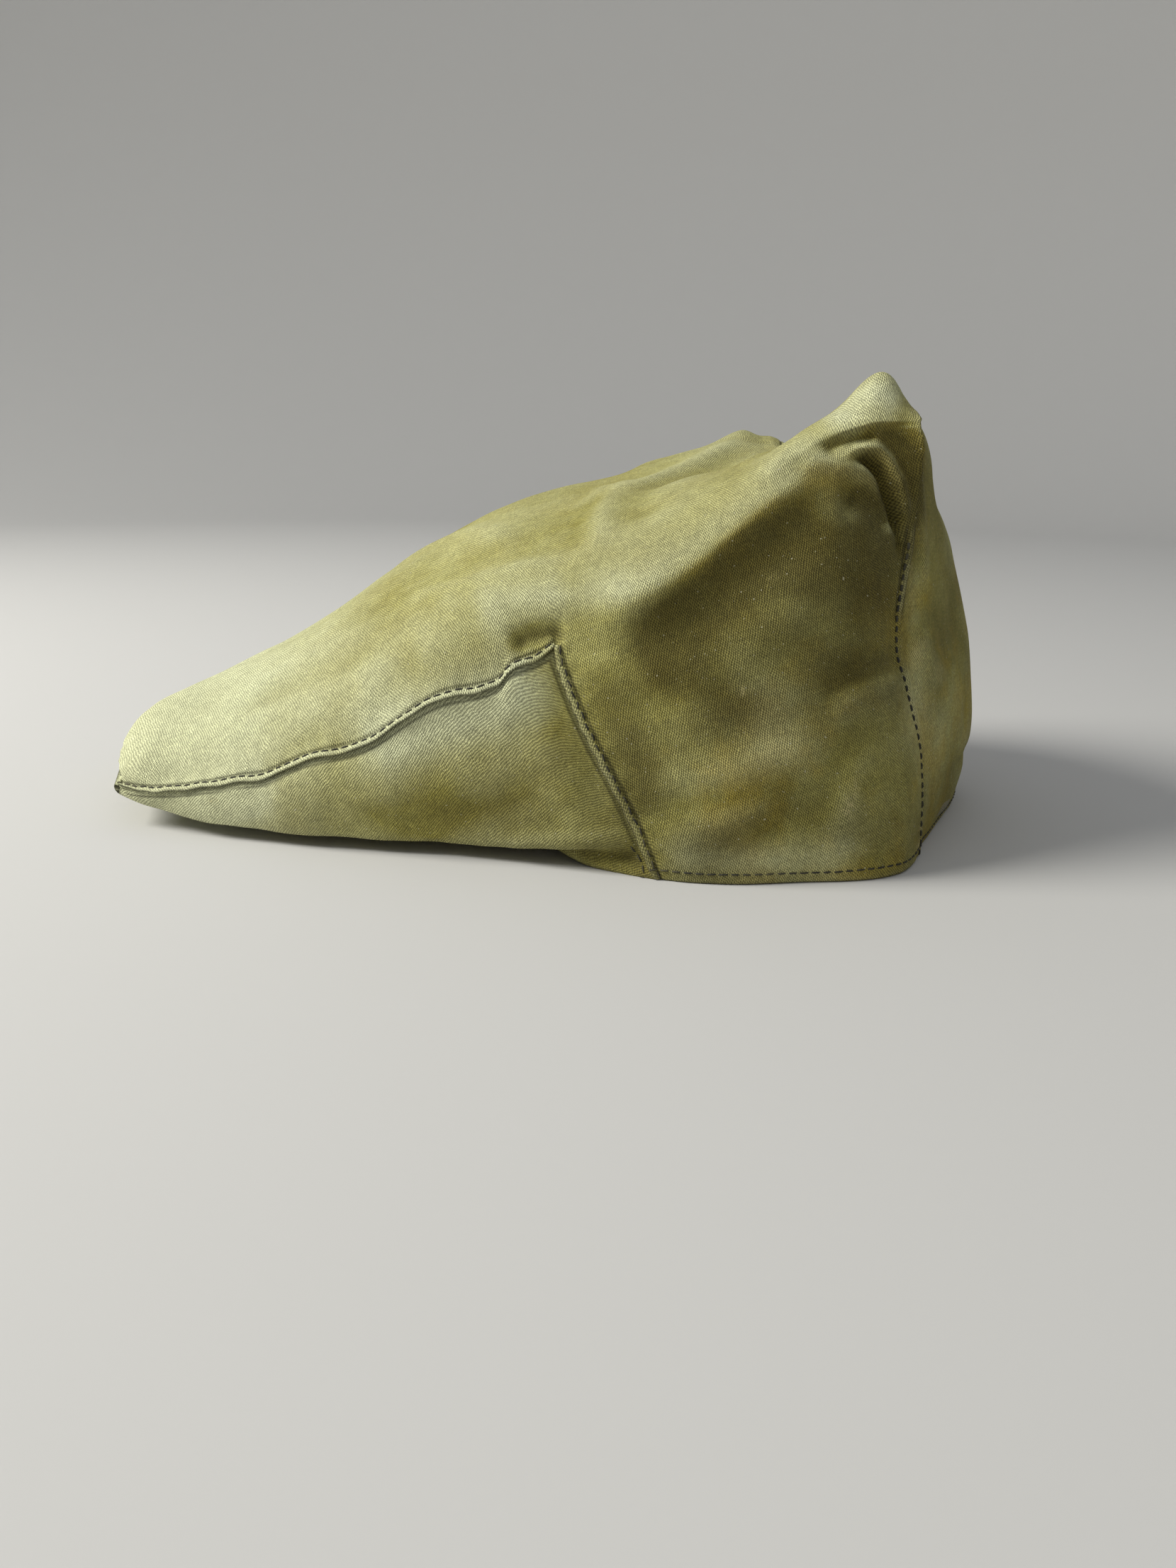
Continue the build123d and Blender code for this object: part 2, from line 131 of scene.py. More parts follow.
# The back panel between its side seams, from the hem up. The last row lies halfway up the top interval.
BACK_INSIDE = [
    [(111, -52, 0), (123.5, -27, 0), (134.5, 0, 0), (130, 25, 0), (119, 47, 0)],
    [(116, -48, 31), (129.5, -24, 31), (137.3, 0, 29), (131, 25, 30), (119, 46, 29)],
    [(109, -47, 64), (124, -24, 62), (132.5, 0, 61), (126, 25, 58), (111, 45, 56)],
    [(107, -45, 97), (115.5, -24, 95), (121, 0, 92), (113, 25, 89), (98, 44, 86)],
    [(103, -42, 119), (106, -25, 114.5), (102, 0, 109.5), (97, 25, 106), (87, 43, 104)],
]


# ---------------------------------------------------------------- surfaces
def spread(ctrl, stations, axis=0, before=None, after=None):
    """A smooth curve through the control points along one axis, read at fractional stations."""
    pts = np.moveaxis(np.asarray(ctrl, float), axis, 0)
    start = 0
    if before is not None:
        pts = np.concatenate([np.asarray(before, float)[None], pts])
        start = 1
    if after is not None:
        pts = np.concatenate([pts, np.asarray(after, float)[None]])
    step = pts[1:] - pts[:-1]
    length = np.sqrt(np.linalg.norm(step, axis=-1, keepdims=True)) + 1e-9
    secant = step / length
    tangent = np.empty_like(pts)
    tangent[1:-1] = (secant[:-1] * length[1:] + secant[1:] * length[:-1]) / (length[1:] + length[:-1])
    tangent[0] = 1.5 * secant[0] - 0.5 * tangent[1] if len(pts) > 2 else secant[0]
    tangent[-1] = 1.5 * secant[-1] - 0.5 * tangent[-2] if len(pts) > 2 else secant[-1]
    last = len(np.moveaxis(np.asarray(ctrl), axis, 0)) - 1
    s = np.clip(np.asarray(stations, float), 0, last)
    i = np.minimum(s.astype(int), last - 1)
    t = (s - i).reshape((-1,) + (1,) * (pts.ndim - 1))
    i = i + start
    out = ((2 * t**3 - 3 * t**2 + 1) * pts[i] + (t**3 - 2 * t**2 + t) * length[i] * tangent[i]
           + (3 * t**2 - 2 * t**3) * pts[i + 1] + (t**3 - t**2) * length[i] * tangent[i + 1])
    return np.moveaxis(out, 0, axis)


def smooth(t):
    """From 0 to 1 as t does, easing in and out."""
    t = np.clip(t, 0, 1)
    return t * t * (3 - 2 * t)


def unit(vectors):
    return vectors / (np.linalg.norm(vectors, axis=1, keepdims=True) + 1e-12)


def read_at(at, run, values):
    """The three coordinates of a line of values, read at places along its run."""
    return np.stack([np.interp(at, run, values[:, k]) for k in range(3)], -1)


FINE = np.array([0.4, 0.8, 1.2, 1.6, 2.0, 2.4, 2.8, 3.2, 3.8, 4.6, 5.6])


def stations(counts, fine_start=0.0, fine_end=0.0):
    """Stations along control intervals, with extra ones close to a seam at either end.

    fine_start and fine_end are the lengths, in millimetres, of the first and last interval, or 0 for none.
    """
    out = []
    for i, n in enumerate(counts):
        out += [i + k / n for k in range(n)]
    out.append(float(len(counts)))
    out = np.array(out)
    if fine_start:
        near = FINE / fine_start
        out = np.concatenate([[0.0], near, out[out > near[-1] + 0.3 / counts[0]]])
    if fine_end:
        near = len(counts) - FINE[::-1] / fine_end
        out = np.concatenate([out[out < near[0] - 0.3 / counts[-1]], near, [float(len(counts))]])
    return out


def grid_quads(index):
    a, b, c, d = index[:-1, :-1], index[1:, :-1], index[1:, 1:], index[:-1, 1:]
    return np.stack([a, b, c, d], axis=-1).reshape(-1, 4)


def normals_of(points, quads):
    diagonal = np.cross(points[quads[:, 2]] - points[quads[:, 0]], points[quads[:, 3]] - points[quads[:, 1]])
    total = np.zeros_like(points)
    for k in range(4):
        np.add.at(total, quads[:, k], diagonal)
    return total / (np.linalg.norm(total, axis=1, keepdims=True) + 1e-12)


class Cloth:
    """A panel: points, quads that face outwards, and a weave coordinate in millimetres for each point."""

    def __init__(self, points, quads, weave):
        self.points = points
        self.quads = quads
        self.weave = weave

    def normals(self):
        return normals_of(self.points, self.quads)

    def run_on(self, edge, rows):
        """Carry the cloth on past an edge, given as a list of point numbers, over new rows of points."""
        last = np.asarray(edge)
        middle = len(last) // 2
        following = np.roll(self.quads, -1, axis=1)
        forward = np.any((self.quads == last[middle]) & (following == last[middle + 1]))
        for row in rows:
            index = len(self.points) + np.arange(len(row))
            step = np.linalg.norm(row - self.points[last], axis=1)
            weave = self.weave[last] + np.stack([np.zeros(len(row)), step], -1)
            strip = np.stack([last[:-1], last[1:], index[1:], index[:-1]], axis=-1)
            self.points = np.concatenate([self.points, row])
            self.weave = np.concatenate([self.weave, weave])
            self.quads = np.concatenate([self.quads, strip[:, ::-1] if forward else strip])
            last = index


PEAK_ROWS = stations([14] * 7, fine_start=20)
BODY_ROWS = stations([13, 13, 13, 16, 16, 16], fine_start=22, fine_end=10)
TOP_COLS = stations([11, 17, 22, 22, 17, 11], fine_start=18, fine_end=18)
SIDE_COLS = stations([13, 14, 20, 34], fine_start=21, fine_end=24)


def crown_grid():
    """Points of the crown panel: the top of the peak, and the body behind it from hem to hem."""
    gusset_left = peak_side(0, -1)[:, 1]
    gusset_right = peak_side(-1, 1)[:, 1]
    gusset_left[-1] = LEFT_SIDE[0][3]
    gusset_right[-1] = RIGHT_SIDE[0][3]
    rows = np.concatenate([PEAK_ROWS[:-1], 7 + BODY_ROWS])
    peak_count = len(PEAK_ROWS) - 1
    top = spread(PEAK_TOP + CROWN_TOP, rows)
    side_l = spread(LEFT_SIDE, BODY_ROWS)
    side_r = spread(RIGHT_SIDE, BODY_ROWS)
    side_l[:, -1] = top[peak_count:, 0]
    side_r[:, -1] = top[peak_count:, -1]
    # peak rows: the edge leans towards the side of the peak near the crown, and ends free at the front
    lean = np.clip((PEAK_ROWS[:-1] - 3) / 4, 0, 1)[:, None]
    next_l = spread(gusset_left, PEAK_ROWS[:-1])
    next_r = spread(gusset_right, PEAK_ROWS[:-1])
    peak = top[:peak_count]
    free_l = 2 * peak[:, 0] - peak[:, 1]
    free_r = 2 * peak[:, -1] - peak[:, -2]
    peak = spread(peak, TOP_COLS, axis=1, before=lean * next_l + (1 - lean) * free_l,
                  after=lean * next_r + (1 - lean) * free_r)
    body = np.concatenate([side_l, top[peak_count:, 1:-1], side_r[:, ::-1]], axis=1)
    columns = np.concatenate([SIDE_COLS, 4 + TOP_COLS[1:], 10 + (4 - SIDE_COLS[::-1])[1:]])
    body = spread(body, columns, axis=1)
    return peak, body


def side_of_peak(seam, fold, bulge, sign):
    """Five points from the top seam down to the fold, bowed outwards."""
    a = np.array(seam, float)
    b = np.array(fold, float)
    out = []
    for t in (0, 0.25, 0.5, 0.75, 1):
        p = a + (b - a) * t
        p[1] += sign * bulge * 4 * t * (1 - t)
        out.append(p)
    return out


def peak_side(end, sign):
    """One side of the peak, row by row: the left for end 0 and the right for end -1."""
    rows = zip(PEAK_TOP, PEAK_FLOOR, PEAK_BULGE)
    return np.array([side_of_peak(top[end], floor[end], bulge, sign) for top, floor, bulge in rows])


def arc_lengths(grid, axis):
    step = np.linalg.norm(np.diff(grid, axis=axis), axis=-1)
    zero = np.zeros_like(np.take(step, [0], axis=axis))
    return np.concatenate([zero, np.cumsum(step, axis=axis)], axis=axis)


def even_weft(across, side, middle):
    """Measure the weft from the centre on top and from the hems on the sides, so the ears don't skew it."""
    rows = np.arange(len(across))
    centre = across[:, side + middle]
    column = np.arange(across.shape[1])
    out = across - centre[:, None]
    for half, sign in ((centre, 1), (across[:, -1] - centre, -1)):
        steady = np.polyval(np.polyfit(rows, half, 2), rows)
        steady += (half[0] - steady[0]) * np.exp(-rows / 12)
        share = smooth((side + middle - column) * sign / middle)
        out += sign * (half - steady)[:, None] * share
    return out


def make_crown():
    peak, body = crown_grid()
    rows_p, cols_t = peak.shape[:2]
    rows_b, cols_b = body.shape[:2]
    side = len(SIDE_COLS) - 1
    points = np.concatenate([peak.reshape(-1, 3), body.reshape(-1, 3)])
    peak_index = np.arange(rows_p * cols_t).reshape(rows_p, cols_t)
    body_index = rows_p * cols_t + np.arange(rows_b * cols_b).reshape(rows_b, cols_b)
    joined = np.concatenate([peak_index, body_index[:1, side:side + cols_t]])
    quads = np.concatenate([grid_quads(joined), grid_quads(body_index)])
    # weave coordinates: along the cap, and across it from the centre line
    whole = np.concatenate([peak, body[:, side:side + cols_t]])
    along = arc_lengths(whole, 0)
    middle = cols_t // 2
    along = along - along[rows_p][None, :] + 0.35 * along[rows_p].mean()
    across = arc_lengths(peak, 1)
    across -= across[:, [middle]]
    across_body = even_weft(arc_lengths(body, 1), side, middle)
    along_body = np.empty((rows_b, cols_b))
    along_body[:, side:side + cols_t] = along[rows_p:]
    along_side = arc_lengths(body, 0)
    start = along_body[0, side]
    for j in range(cols_b):
        if j < side or j >= side + cols_t:
            along_body[:, j] = along_side[:, j] + start
    weave = np.concatenate([
        np.stack([along[:rows_p], across], -1).reshape(-1, 2),
        np.stack([along_body, across_body], -1).reshape(-1, 2)])
    cloth = Cloth(points, quads, weave)
    cloth.body_index = body_index
    cloth.joined = joined
    return cloth


# Where the folds of the peak panel meet the side seams, counted along the seam's control points from the top.
SEAM_TO_FOLD = [4, 3.15, 2.3, 1.45, 0.62]
# The front seam, read at the same places as the columns of the floor.
FRONT_STATIONS = [0, 0.25, 1, 2, 3, 4, 5, 5.75, 6]


def make_peak_panel():
    lefts = peak_side(0, -1)
    rights = peak_side(-1, 1)
    seam_l = spread(LEFT_SIDE[0], SEAM_TO_FOLD)
    seam_r = spread(RIGHT_SIDE[0], SEAM_TO_FOLD)
    lefts[-1] = seam_l
    rights[-1] = seam_r
    fold_floor = np.array(PEAK_FLOOR, float)
    fold_floor[-1, 0] = seam_l[-1]
    fold_floor[-1, -1] = seam_r[-1]
    rows = stations([12] * 7, fine_end=22)
    down = stations([6, 6, 6, 6], fine_start=12)
    over = stations([4, 14, 12, 12, 12, 12, 14, 4])
    # the crown's own edge is followed exactly
    top = spread(PEAK_TOP + CROWN_TOP, rows)
    left = spread(lefts, rows)
    right = spread(rights, rows)
    left[:, 0] = top[:, 0]
    right[:, 0] = top[:, -1]
    left = spread(left, down, axis=1)
    right = spread(right, down, axis=1)
    floor = spread(spread(fold_floor, rows), over, axis=1)
    floor[:, 0] = left[:, -1]
    floor[:, -1] = right[:, -1]
    body = np.concatenate([left, floor[:, 1:-1], right[:, ::-1]], axis=1)
    n_down = left.shape[1]
    front_top = spread(PEAK_TOP[0], FRONT_STATIONS)
    front_top = spread(front_top, over)
    share = arc_lengths(left[0], 0) / arc_lengths(left[0], 0)[-1]
    wall = front_top[None] * (1 - share[:, None, None]) + floor[0][None] * share[:, None, None]
    points = np.concatenate([body.reshape(-1, 3), wall[:-1, 1:-1].reshape(-1, 3)])
    index = np.arange(body.shape[0] * body.shape[1]).reshape(body.shape[:2])
    wall_index = np.empty(wall.shape[:2], int)
    wall_index[:, 0] = index[0, :n_down]
    wall_index[:, -1] = index[0, ::-1][:n_down]
    wall_index[-1] = index[0, n_down - 1:n_down - 1 + wall.shape[1]]
    inner_count = (wall.shape[0] - 1) * (wall.shape[1] - 2)
    wall_index[:-1, 1:-1] = body.shape[0] * body.shape[1] + np.arange(inner_count).reshape(
        wall.shape[0] - 1, wall.shape[1] - 2)
    quads = np.concatenate([grid_quads(index)[:, ::-1], grid_quads(wall_index)])
    along = arc_lengths(body, 0)
    across = arc_lengths(body, 1)
    across -= across[:, [body.shape[1] // 2]]
    wall_weave = np.stack([-arc_lengths(wall, 0)[::-1][:-1, 1:-1], arc_lengths(wall, 1)[:-1, 1:-1]], -1)
    weave = np.concatenate([np.stack([along, across], -1).reshape(-1, 2), wall_weave.reshape(-1, 2)])
    cloth = Cloth(points, quads, weave)
    cloth.index = index
    cloth.wall = wall_index
    cloth.n_down = n_down
    cloth.row_at = rows
    cloth.down_at = down
    cloth.over_at = over
    return cloth


# The rows of the back panel, counted along the control points of the back seams.
SEAM_LEVELS = [0, 1, 2, 3, 3.5, 4]


def make_back():
    seam_l = spread(LEFT_SIDE[-1], SEAM_LEVELS)
    seam_r = spread(RIGHT_SIDE[-1], SEAM_LEVELS)
    rows = [[l] + row + [r] for l, row, r in zip(seam_l, BACK_INSIDE, seam_r)]
    rows.append(CROWN_TOP[-1])
    around = stations([12, 13, 16, 16, 13, 12], fine_start=18, fine_end=18)
    up = stations([14, 14, 14, 10, 9], fine_start=30, fine_end=14)
    grid = spread(spread(rows, up), around, axis=1)
    top = spread(CROWN_TOP[-1], around)
    on_seam = np.interp(up, range(len(SEAM_LEVELS)), SEAM_LEVELS)
    side_l = spread(LEFT_SIDE[-1], on_seam)
    side_r = spread(RIGHT_SIDE[-1], on_seam)
    grid[-1] = top
    grid[:, 0] = side_l
    grid[:, -1] = side_r
    index = np.arange(grid.shape[0] * grid.shape[1]).reshape(grid.shape[:2])
    weave = np.stack([arc_lengths(grid, 1) - arc_lengths(grid, 1)[:, [grid.shape[1] // 2]],
                      arc_lengths(grid, 0)], -1).reshape(-1, 2)
    cloth = Cloth(grid.reshape(-1, 3), grid_quads(index)[:, ::-1], weave)
    cloth.index = index
    cloth.seam_at = on_seam
    cloth.around_at = around
    return cloth


# ---------------------------------------------------------------- folds
# Seen from the side (x, z), in plan (x, y) or from the rear (y, z).
# Each is its height above the cloth (negative for a hollow), the width it falls away over, and its path.
LEFT_FOLDS = [
    (2.4, 1.5, [(77.5, 114.4), (81.7, 116.4), (85.8, 116.2), (89, 113.7), (92.2, 109), (94.7, 103.5),
                (96.3, 98.5), (96.8, 89)]),
    (-3.9, 1.3, [(78, 113), (83.4, 113.3), (86.4, 110.8), (89.6, 105.8), (92.2, 100.7), (93.8, 94.9),
                 (94.6, 82)]),
    (-2.0, 2.4, [(70, 115), (75, 117.6), (81, 119), (87, 119.4)]),
    (1.0, 3.0, [(62, 113), (70, 112), (78, 109.8), (85, 107.6), (92, 105)]),
    (-1.6, 5.0, [(74, 103), (82, 103), (89, 100), (92, 92)]),
    (1.5, 2.6, [(50, 103), (56.8, 108.7), (64, 114.5), (71.3, 119.6), (78, 122.8), (85, 123.9), (96, 124.7)]),
    (0.5, 4.5, [(74, 45), (82, 49.5), (89, 52), (100, 52.9)]),
    (-0.7, 4.5, [(68, 49), (79, 54.5), (89, 57.5), (100, 58)]),
    (-0.9, 5.0, [(36, 3), (52.9, 12.8), (62.6, 19.4), (72.3, 23.6), (77.5, 32.6), (80.9, 40.9), (89, 49)]),
    (0.7, 5.0, [(75, 8), (79.6, 18), (80.6, 26.7), (88, 38)]),
    (0.9, 7.0, [(22, 26), (40, 29.5), (56.3, 33), (76, 40)]),
    (-0.8, 4.5, [(20, 13), (30, 19.5), (41, 23), (56.4, 25.5), (74, 30)]),
    (0.5, 4.5, [(26, 7), (40, 14), (50, 18.5), (66, 27)]),
    (-0.7, 4.0, [(-64, 11), (-45, 12.5), (-30.3, 14), (-17.9, 17.7), (0, 27)]),
    (0.7, 7.0, [(-60, 18), (-30, 23.5), (-10, 31), (4, 40)]),
    (-0.9, 7.0, [(2, 16), (10, 25), (15, 38)]),
    (1.2, 2.4, [(-20, 6.5), (-4, 7.6), (10, 9.6), (26, 12)]),
    (-3.2, 2.4, [(-12, 2.2), (0, 2.8), (12, 4.6), (27, 5.4)]),
    (-1.7, 3.2, [(-15, 61.5), (-7, 65.2), (2, 65)]),
    (1.0, 7.0, [(-44, 55), (-27, 62.5), (-13, 70)]),
    (0.8, 3.4, [(-40, 70), (-30, 72), (-18.7, 73.6), (-1, 74.6), (14, 76)]),
    (2.4, 5.5, [(-8, 70.5), (11, 73.5), (21, 76), (31, 81), (39, 86.5), (48, 93.5), (56, 100), (64, 107.5),
                (74, 117)]),
    (-1.5, 7.0, [(6, 58), (22, 64), (36, 71.5), (50, 81), (62, 92), (74, 103)]),
    (0.9, 7.0, [(30, 52), (50, 64), (72, 76)]),
    (-0.8, 6.0, [(18, 44), (30, 52), (50, 55)]),
    (0.7, 4.0, [(-95, 25), (-80, 32), (-66, 43)]),
    (-0.6, 4.0, [(-84, 26), (-68, 37), (-56, 49)]),
    (0.7, 4.0, [(-72, 33), (-58, 45), (-47, 57)]),
]
# Where the near side is painted lighter, above zero, or darker, below zero: painted light and shade along the
# shoulder, the folds and the ear, mixed with real fading and soiling. Each is an amount, a width and a path.
LEFT_LIGHT_SHADE_AND_WEAR = [
    # painted highlight along the lit edge of the shoulder
    (0.55, 5.5, [(-8, 73), (11, 76.5), (21, 79), (31, 84.5), (40, 90.5), (49, 98), (57, 105), (66, 113),
                 (76, 121)]),
    (0.4, 8.0, [(-26, 68), (-12, 73), (4, 77)]),
    # painted light on the near ear's up-facing tip
    (0.8, 6.0, [(70, 121), (80, 129), (88, 131), (96, 127)]),
    (1.1, 11.0, [(-66, 31), (-40, 38), (-22, 46), (0, 57)]),
    (1.1, 8.0, [(-132, 13), (-108, 14), (-80, 16)]),
    (0.5, 6.0, [(24, 6), (44, 7), (66, 6), (90, 8)]),
    (0.3, 6.0, [(14, 60), (20, 52), (26, 42)]),
    (0.2, 9.0, [(80, 6), (82, 16), (84, 26)]),
    (0.25, 8.0, [(52, 60), (57, 48), (60, 30)]),
    (0.35, 5.0, [(98, 88), (101, 74), (102, 56), (105, 30)]),
    # painted shade on the steep cloth below the shoulder
    (-0.6, 11.0, [(8, 63), (24, 66), (38, 73), (52, 82), (64, 92), (76, 103)]),
    (-0.4, 14.0, [(14, 56), (36, 62), (58, 76), (74, 92)]),
    (-0.8, 9.0, [(11, 62), (17, 44), (22, 28), (28, 16)]),
    (-0.7, 4.0, [(78, 104), (82, 101), (86, 96), (89, 86)]),
    (-0.3, 8.0, [(-4, 44), (3, 32), (12, 17), (18, 8)]),
    (-0.3, 7.0, [(-40, 15), (-20, 13), (4, 20)]),
    # painted shade in the hollow above the front corner of the side
    (-0.7, 2.2, [(-16, 60), (-10, 63.8), (-4, 65.6), (3, 64)]),
    (-0.35, 9.0, [(76, 66), (84, 84), (88, 96)]),
    # painted shadow in the near ear's groove, and painted shade below its ridge
    (-1.3, 1.7, [(81, 113), (83.4, 113.3), (86.4, 110.8), (89.6, 105.8), (92.2, 100.7), (93.8, 94.9),
                 (94.6, 86)]),
    (-0.7, 3.5, [(82, 117.5), (90, 118), (96, 112), (99, 102), (101, 92)]),
]
RIGHT_FOLDS = [
    (1.4, 3.2, [(52, 96), (61, 102.5), (67, 99), (71, 90), (75, 78)]),
    (-1.2, 3.2, [(50, 89), (60, 95), (65, 90), (69, 78)]),
    (0.9, 7.0, [(24, 24), (44, 30), (60, 33), (80, 36)]),
    (-0.8, 5.0, [(22, 13), (42, 20), (66, 26)]),
    (-0.9, 5.0, [(40, 4), (62, 17), (74, 22), (82, 34), (92, 44)]),
    (0.6, 5.0, [(74, 44), (88, 48), (101, 49)]),
    (-0.4, 6.0, [(72, 51), (86, 54.5), (99, 55)]),
    (-0.7, 4.0, [(-60, 11), (-30, 14), (-8, 22)]),
    (0.7, 7.0, [(-54, 19), (-28, 24), (-2, 34)]),
    (-1.6, 5.0, [(-12, 64), (-6, 67), (0, 67)]),
    (-0.9, 7.0, [(20, 60), (38, 72), (56, 84)]),
    (0.8, 6.0, [(30, 48), (50, 58), (70, 64)]),
]
TOP_FOLDS = [
    (3.4, 6.5, [(-120, -54), (-131, -45), (-138, -30), (-141.5, -12), (-142, 8), (-140, 28), (-131, 48)]),
    (1.4, 4.5, [(20, 8), (15.7, -12), (11, -36), (11, -62)]),
    (-1.1, 6.5, [(29, -2), (23, -28), (22, -56)]),
    (1.4, 4.5, [(16, -16), (23.6, -7.9), (36, 8), (48, 22), (64, 40)]),
    (-1.3, 5.5, [(24, -22), (36, -6), (50, 10), (68, 32)]),
    (0.7, 3.5, [(2, -24), (9, -9), (13, 8)]),
    (0.9, 5.0, [(-62, 26), (-46, 12), (-35.5, 3), (-22, -20), (-14, -42)]),
    (-0.9, 9.0, [(-52, -6), (-30, -30), (0, -36)]),
    (0.6, 4.0, [(-52, -32), (-32, -45), (-10, -50), (12, -54)]),
    (0.8, 6.0, [(-110, -30), (-80, -34), (-52, -44)]),
    (-0.7, 5.0, [(-104, -42), (-76, -46), (-54, -56)]),
    (0.8, 8.0, [(-100, 30), (-70, 26), (-40, 34)]),
    (-0.8, 8.0, [(-120, 6), (-90, 8), (-64, 2)]),
    (-1.2, 7.0, [(-10, 30), (6, 44), (10, 58)]),
    (1.0, 6.0, [(30, 30), (24, 48), (20, 60)]),
    (1.0, 4.0, [(52, -40), (60, -20), (66, 4)]),
    (-1.0, 4.0, [(60, -46), (68, -26), (70, -4)]),
]
BACK_FOLDS = [
    (0.9, 2.2, [(-56, 118), (-54.5, 107), (-52, 91), (-49, 68)]),
    (1.4, 6.0, [(-54, 64), (-50, 58), (-46, 46)]),
    (1.3, 8.0, [(6, 106), (14, 72), (8, 36)]),
    (-1.2, 8.0, [(-20, 84), (-27, 52), (-18, 24)]),
    (-1.2, 3.6, [(-40, 19), (-22, 17), (4, 18), (30, 22)]),
    (-1.1, 6.0, [(30, 90), (38, 60), (32, 30)]),
    (1.0, 5.0, [(48, 70), (44, 44), (48, 16)]),
]
# How far the near peak seam wanders up and down, along x.
SEAM_WANDER = [(-140, 0), (-98, 0), (-86, -1.5), (-74, 0.2), (-58, -1.5), (-51, -1), (-43, 0.2), (-33, 0.2),
               (-24, -1.8), (-17, -2.2), (-14.5, 0.1), (-6, -0.5), (0, 0)]
# Pale rubbed and frayed spots on the near side: x, z and radius.
SCUFFS = [(79.5, 20.5, 1.6), (80.4, 23.5, 1.0), (81.8, 27, 1.3), (105.5, 4, 1.5), (106.5, 8, 1.2),
          (2.4, 51.8, 0.9), (98.6, 84, 0.9), (50, 52.5, 0.9), (-104, 12, 0.8), (58, 82, 0.7)]


def ripple(points, wavelength, seed):
    """A gentle random wave through space, mostly between -1 and 1."""
    rng = np.random.RandomState(seed)
    total = np.zeros(len(points))
    for _ in range(14):
        way = rng.normal(size=3)
        way *= 2 * math.pi * rng.uniform(0.7, 1.5) / wavelength / np.linalg.norm(way)
        total += np.sin(points @ way + rng.uniform(0, 2 * math.pi))
    return total / 3.7


VIEWS = {"left": (0, 2), "right": (0, 2), "top": (0, 1), "back": (1, 2)}


def facing(points, normals, view):
    """How far each point belongs to the surface seen in a view, from 0 to 1."""
    if view == "left":
        return smooth((-points[:, 1] - 32) / 10)
    if view == "right":
        return smooth((points[:, 1] - 32) / 10)
    if view == "top":
        return smooth((normals[:, 2] - 0.1) / 0.3)
    return smooth((normals[:, 0] - 0.0) / 0.2)


def pressed(cloth, folds, view, normals):
    """How far out along its normal each point goes, for a list of folds."""
    axes = VIEWS[view]
    flat = cloth.points[:, axes]
    total = np.zeros(len(flat))
    for height, width, path in folds:
        curve = spread(path, np.linspace(0, len(path) - 1, 14 * len(path)))
        low = curve.min(0) - 3 * width
        high = curve.max(0) + 3 * width
        near = np.flatnonzero(np.all((flat > low) & (flat < high), axis=1))
        gap = np.linalg.norm(flat[near, None] - curve[None], axis=2)
        along = gap.argmin(1) / (len(curve) - 1)
        taper = smooth(along / 0.22) * smooth((1 - along) / 0.22)
        total[near] += height * np.exp(-(gap.min(1) / width)**2) * taper
    return total * facing(cloth.points, normals, view)


def edge_distances(cloth, strips):
    """Each point's distance from the nearest seam, and how far along that seam it is."""
    near = np.full(len(cloth.points), 99.0)
    along = np.zeros(len(cloth.points))
    for strip in strips:
        grid = cloth.points[strip]
        away = arc_lengths(grid, 1)
        run = np.broadcast_to(arc_lengths(grid, 0)[:, :1], away.shape)
        closer = away < near[strip]
        near[strip[closer]] = away[closer]
        along[strip[closer]] = run[closer]
    return near, along


def sway(points):
    """Shifts that all panels share: the wandering peak seam, the back seam's kink and the near ear's lean."""
    x, y, z = points.T
    fine = spread(SEAM_WANDER, np.linspace(0, len(SEAM_WANDER) - 1, 200))
    peak_seam = spread([row[0] for row in PEAK_TOP], np.linspace(0, 7, 150))
    gap = z - np.interp(x, peak_seam[:, 0], peak_seam[:, 2])
    weight = np.exp(-(gap / 9)**2) * smooth((-y - 30) / 10) * (x < 3)
    out = np.zeros_like(points)
    out[:, 2] = np.interp(x, fine[:, 0], fine[:, 1]) * weight
    back_seam = spread(LEFT_SIDE[-1], np.linspace(0, 4, 80))
    off = x - np.interp(z, back_seam[:, 2], back_seam[:, 0])
    near = np.exp(-(off / 7)**2) * smooth((-y - 45) / 8)
    out[:, 0] = -0.6 * smooth((z - 53) / 5) * smooth((90 - z) / 26) * near
    ridge = np.interp(x, (60, 71, 85, 99), (112, 119, 123, 124))
    lean = 0.9 * np.clip(z - ridge, 0, 20) * smooth((x - 60) / 12) * smooth((-y - 6) / 24)
    out[:, 1] = lean
    out[:, 0] += 0.22 * lean
    return out


def welt_profile(s):
    """The height of a lapped, topstitched seam above the cloth, by distance from its folded edge."""
    at = [0, 0.3, 0.65, 1.05, 1.4, 1.8, 2.2, 2.9, 4.3, 6.8, 10]
    up = [0.7, 1.0, 1.05, 0.9, 0.5, 0.0, 0.22, 0.34, 0.25, 0.08, 0]
    return np.interp(s, at, up)


def inset_line(cloth, strip, away, normals, lift=0.0):
    """Points a set distance in from a seam, along the whole seam, with the surface normals there."""
    grid = cloth.points[strip]
    reach = arc_lengths(grid, 1)
    line = np.array([read_at(away, reach[i], grid[i]) for i in range(len(strip))])
    up = unit(np.array([read_at(away, reach[i], normals[strip[i]]) for i in range(len(strip))]))
    return line + up * lift, up


def lap_under(cloth, edge, edge_at, strip, strip_at, normals):
    """Run the cloth on under the crown, along a seam, as its seam allowance."""
    base = cloth.points[edge]
    run = arc_lengths(base, 0)
    trim = 0.12 + 0.88 * smooth(np.minimum(run, run[-1] - run) / 7)[:, None]
    rows = []
    for reach, depth in ((1.2, 1.05), (3.4, 1.3), (6.5, 1.35)):
        line = inset_line(crown, strip, reach, normals, -depth)[0]
        rows.append(base + (read_at(edge_at, strip_at, line) - base) * trim)
    cloth.run_on(edge, rows)


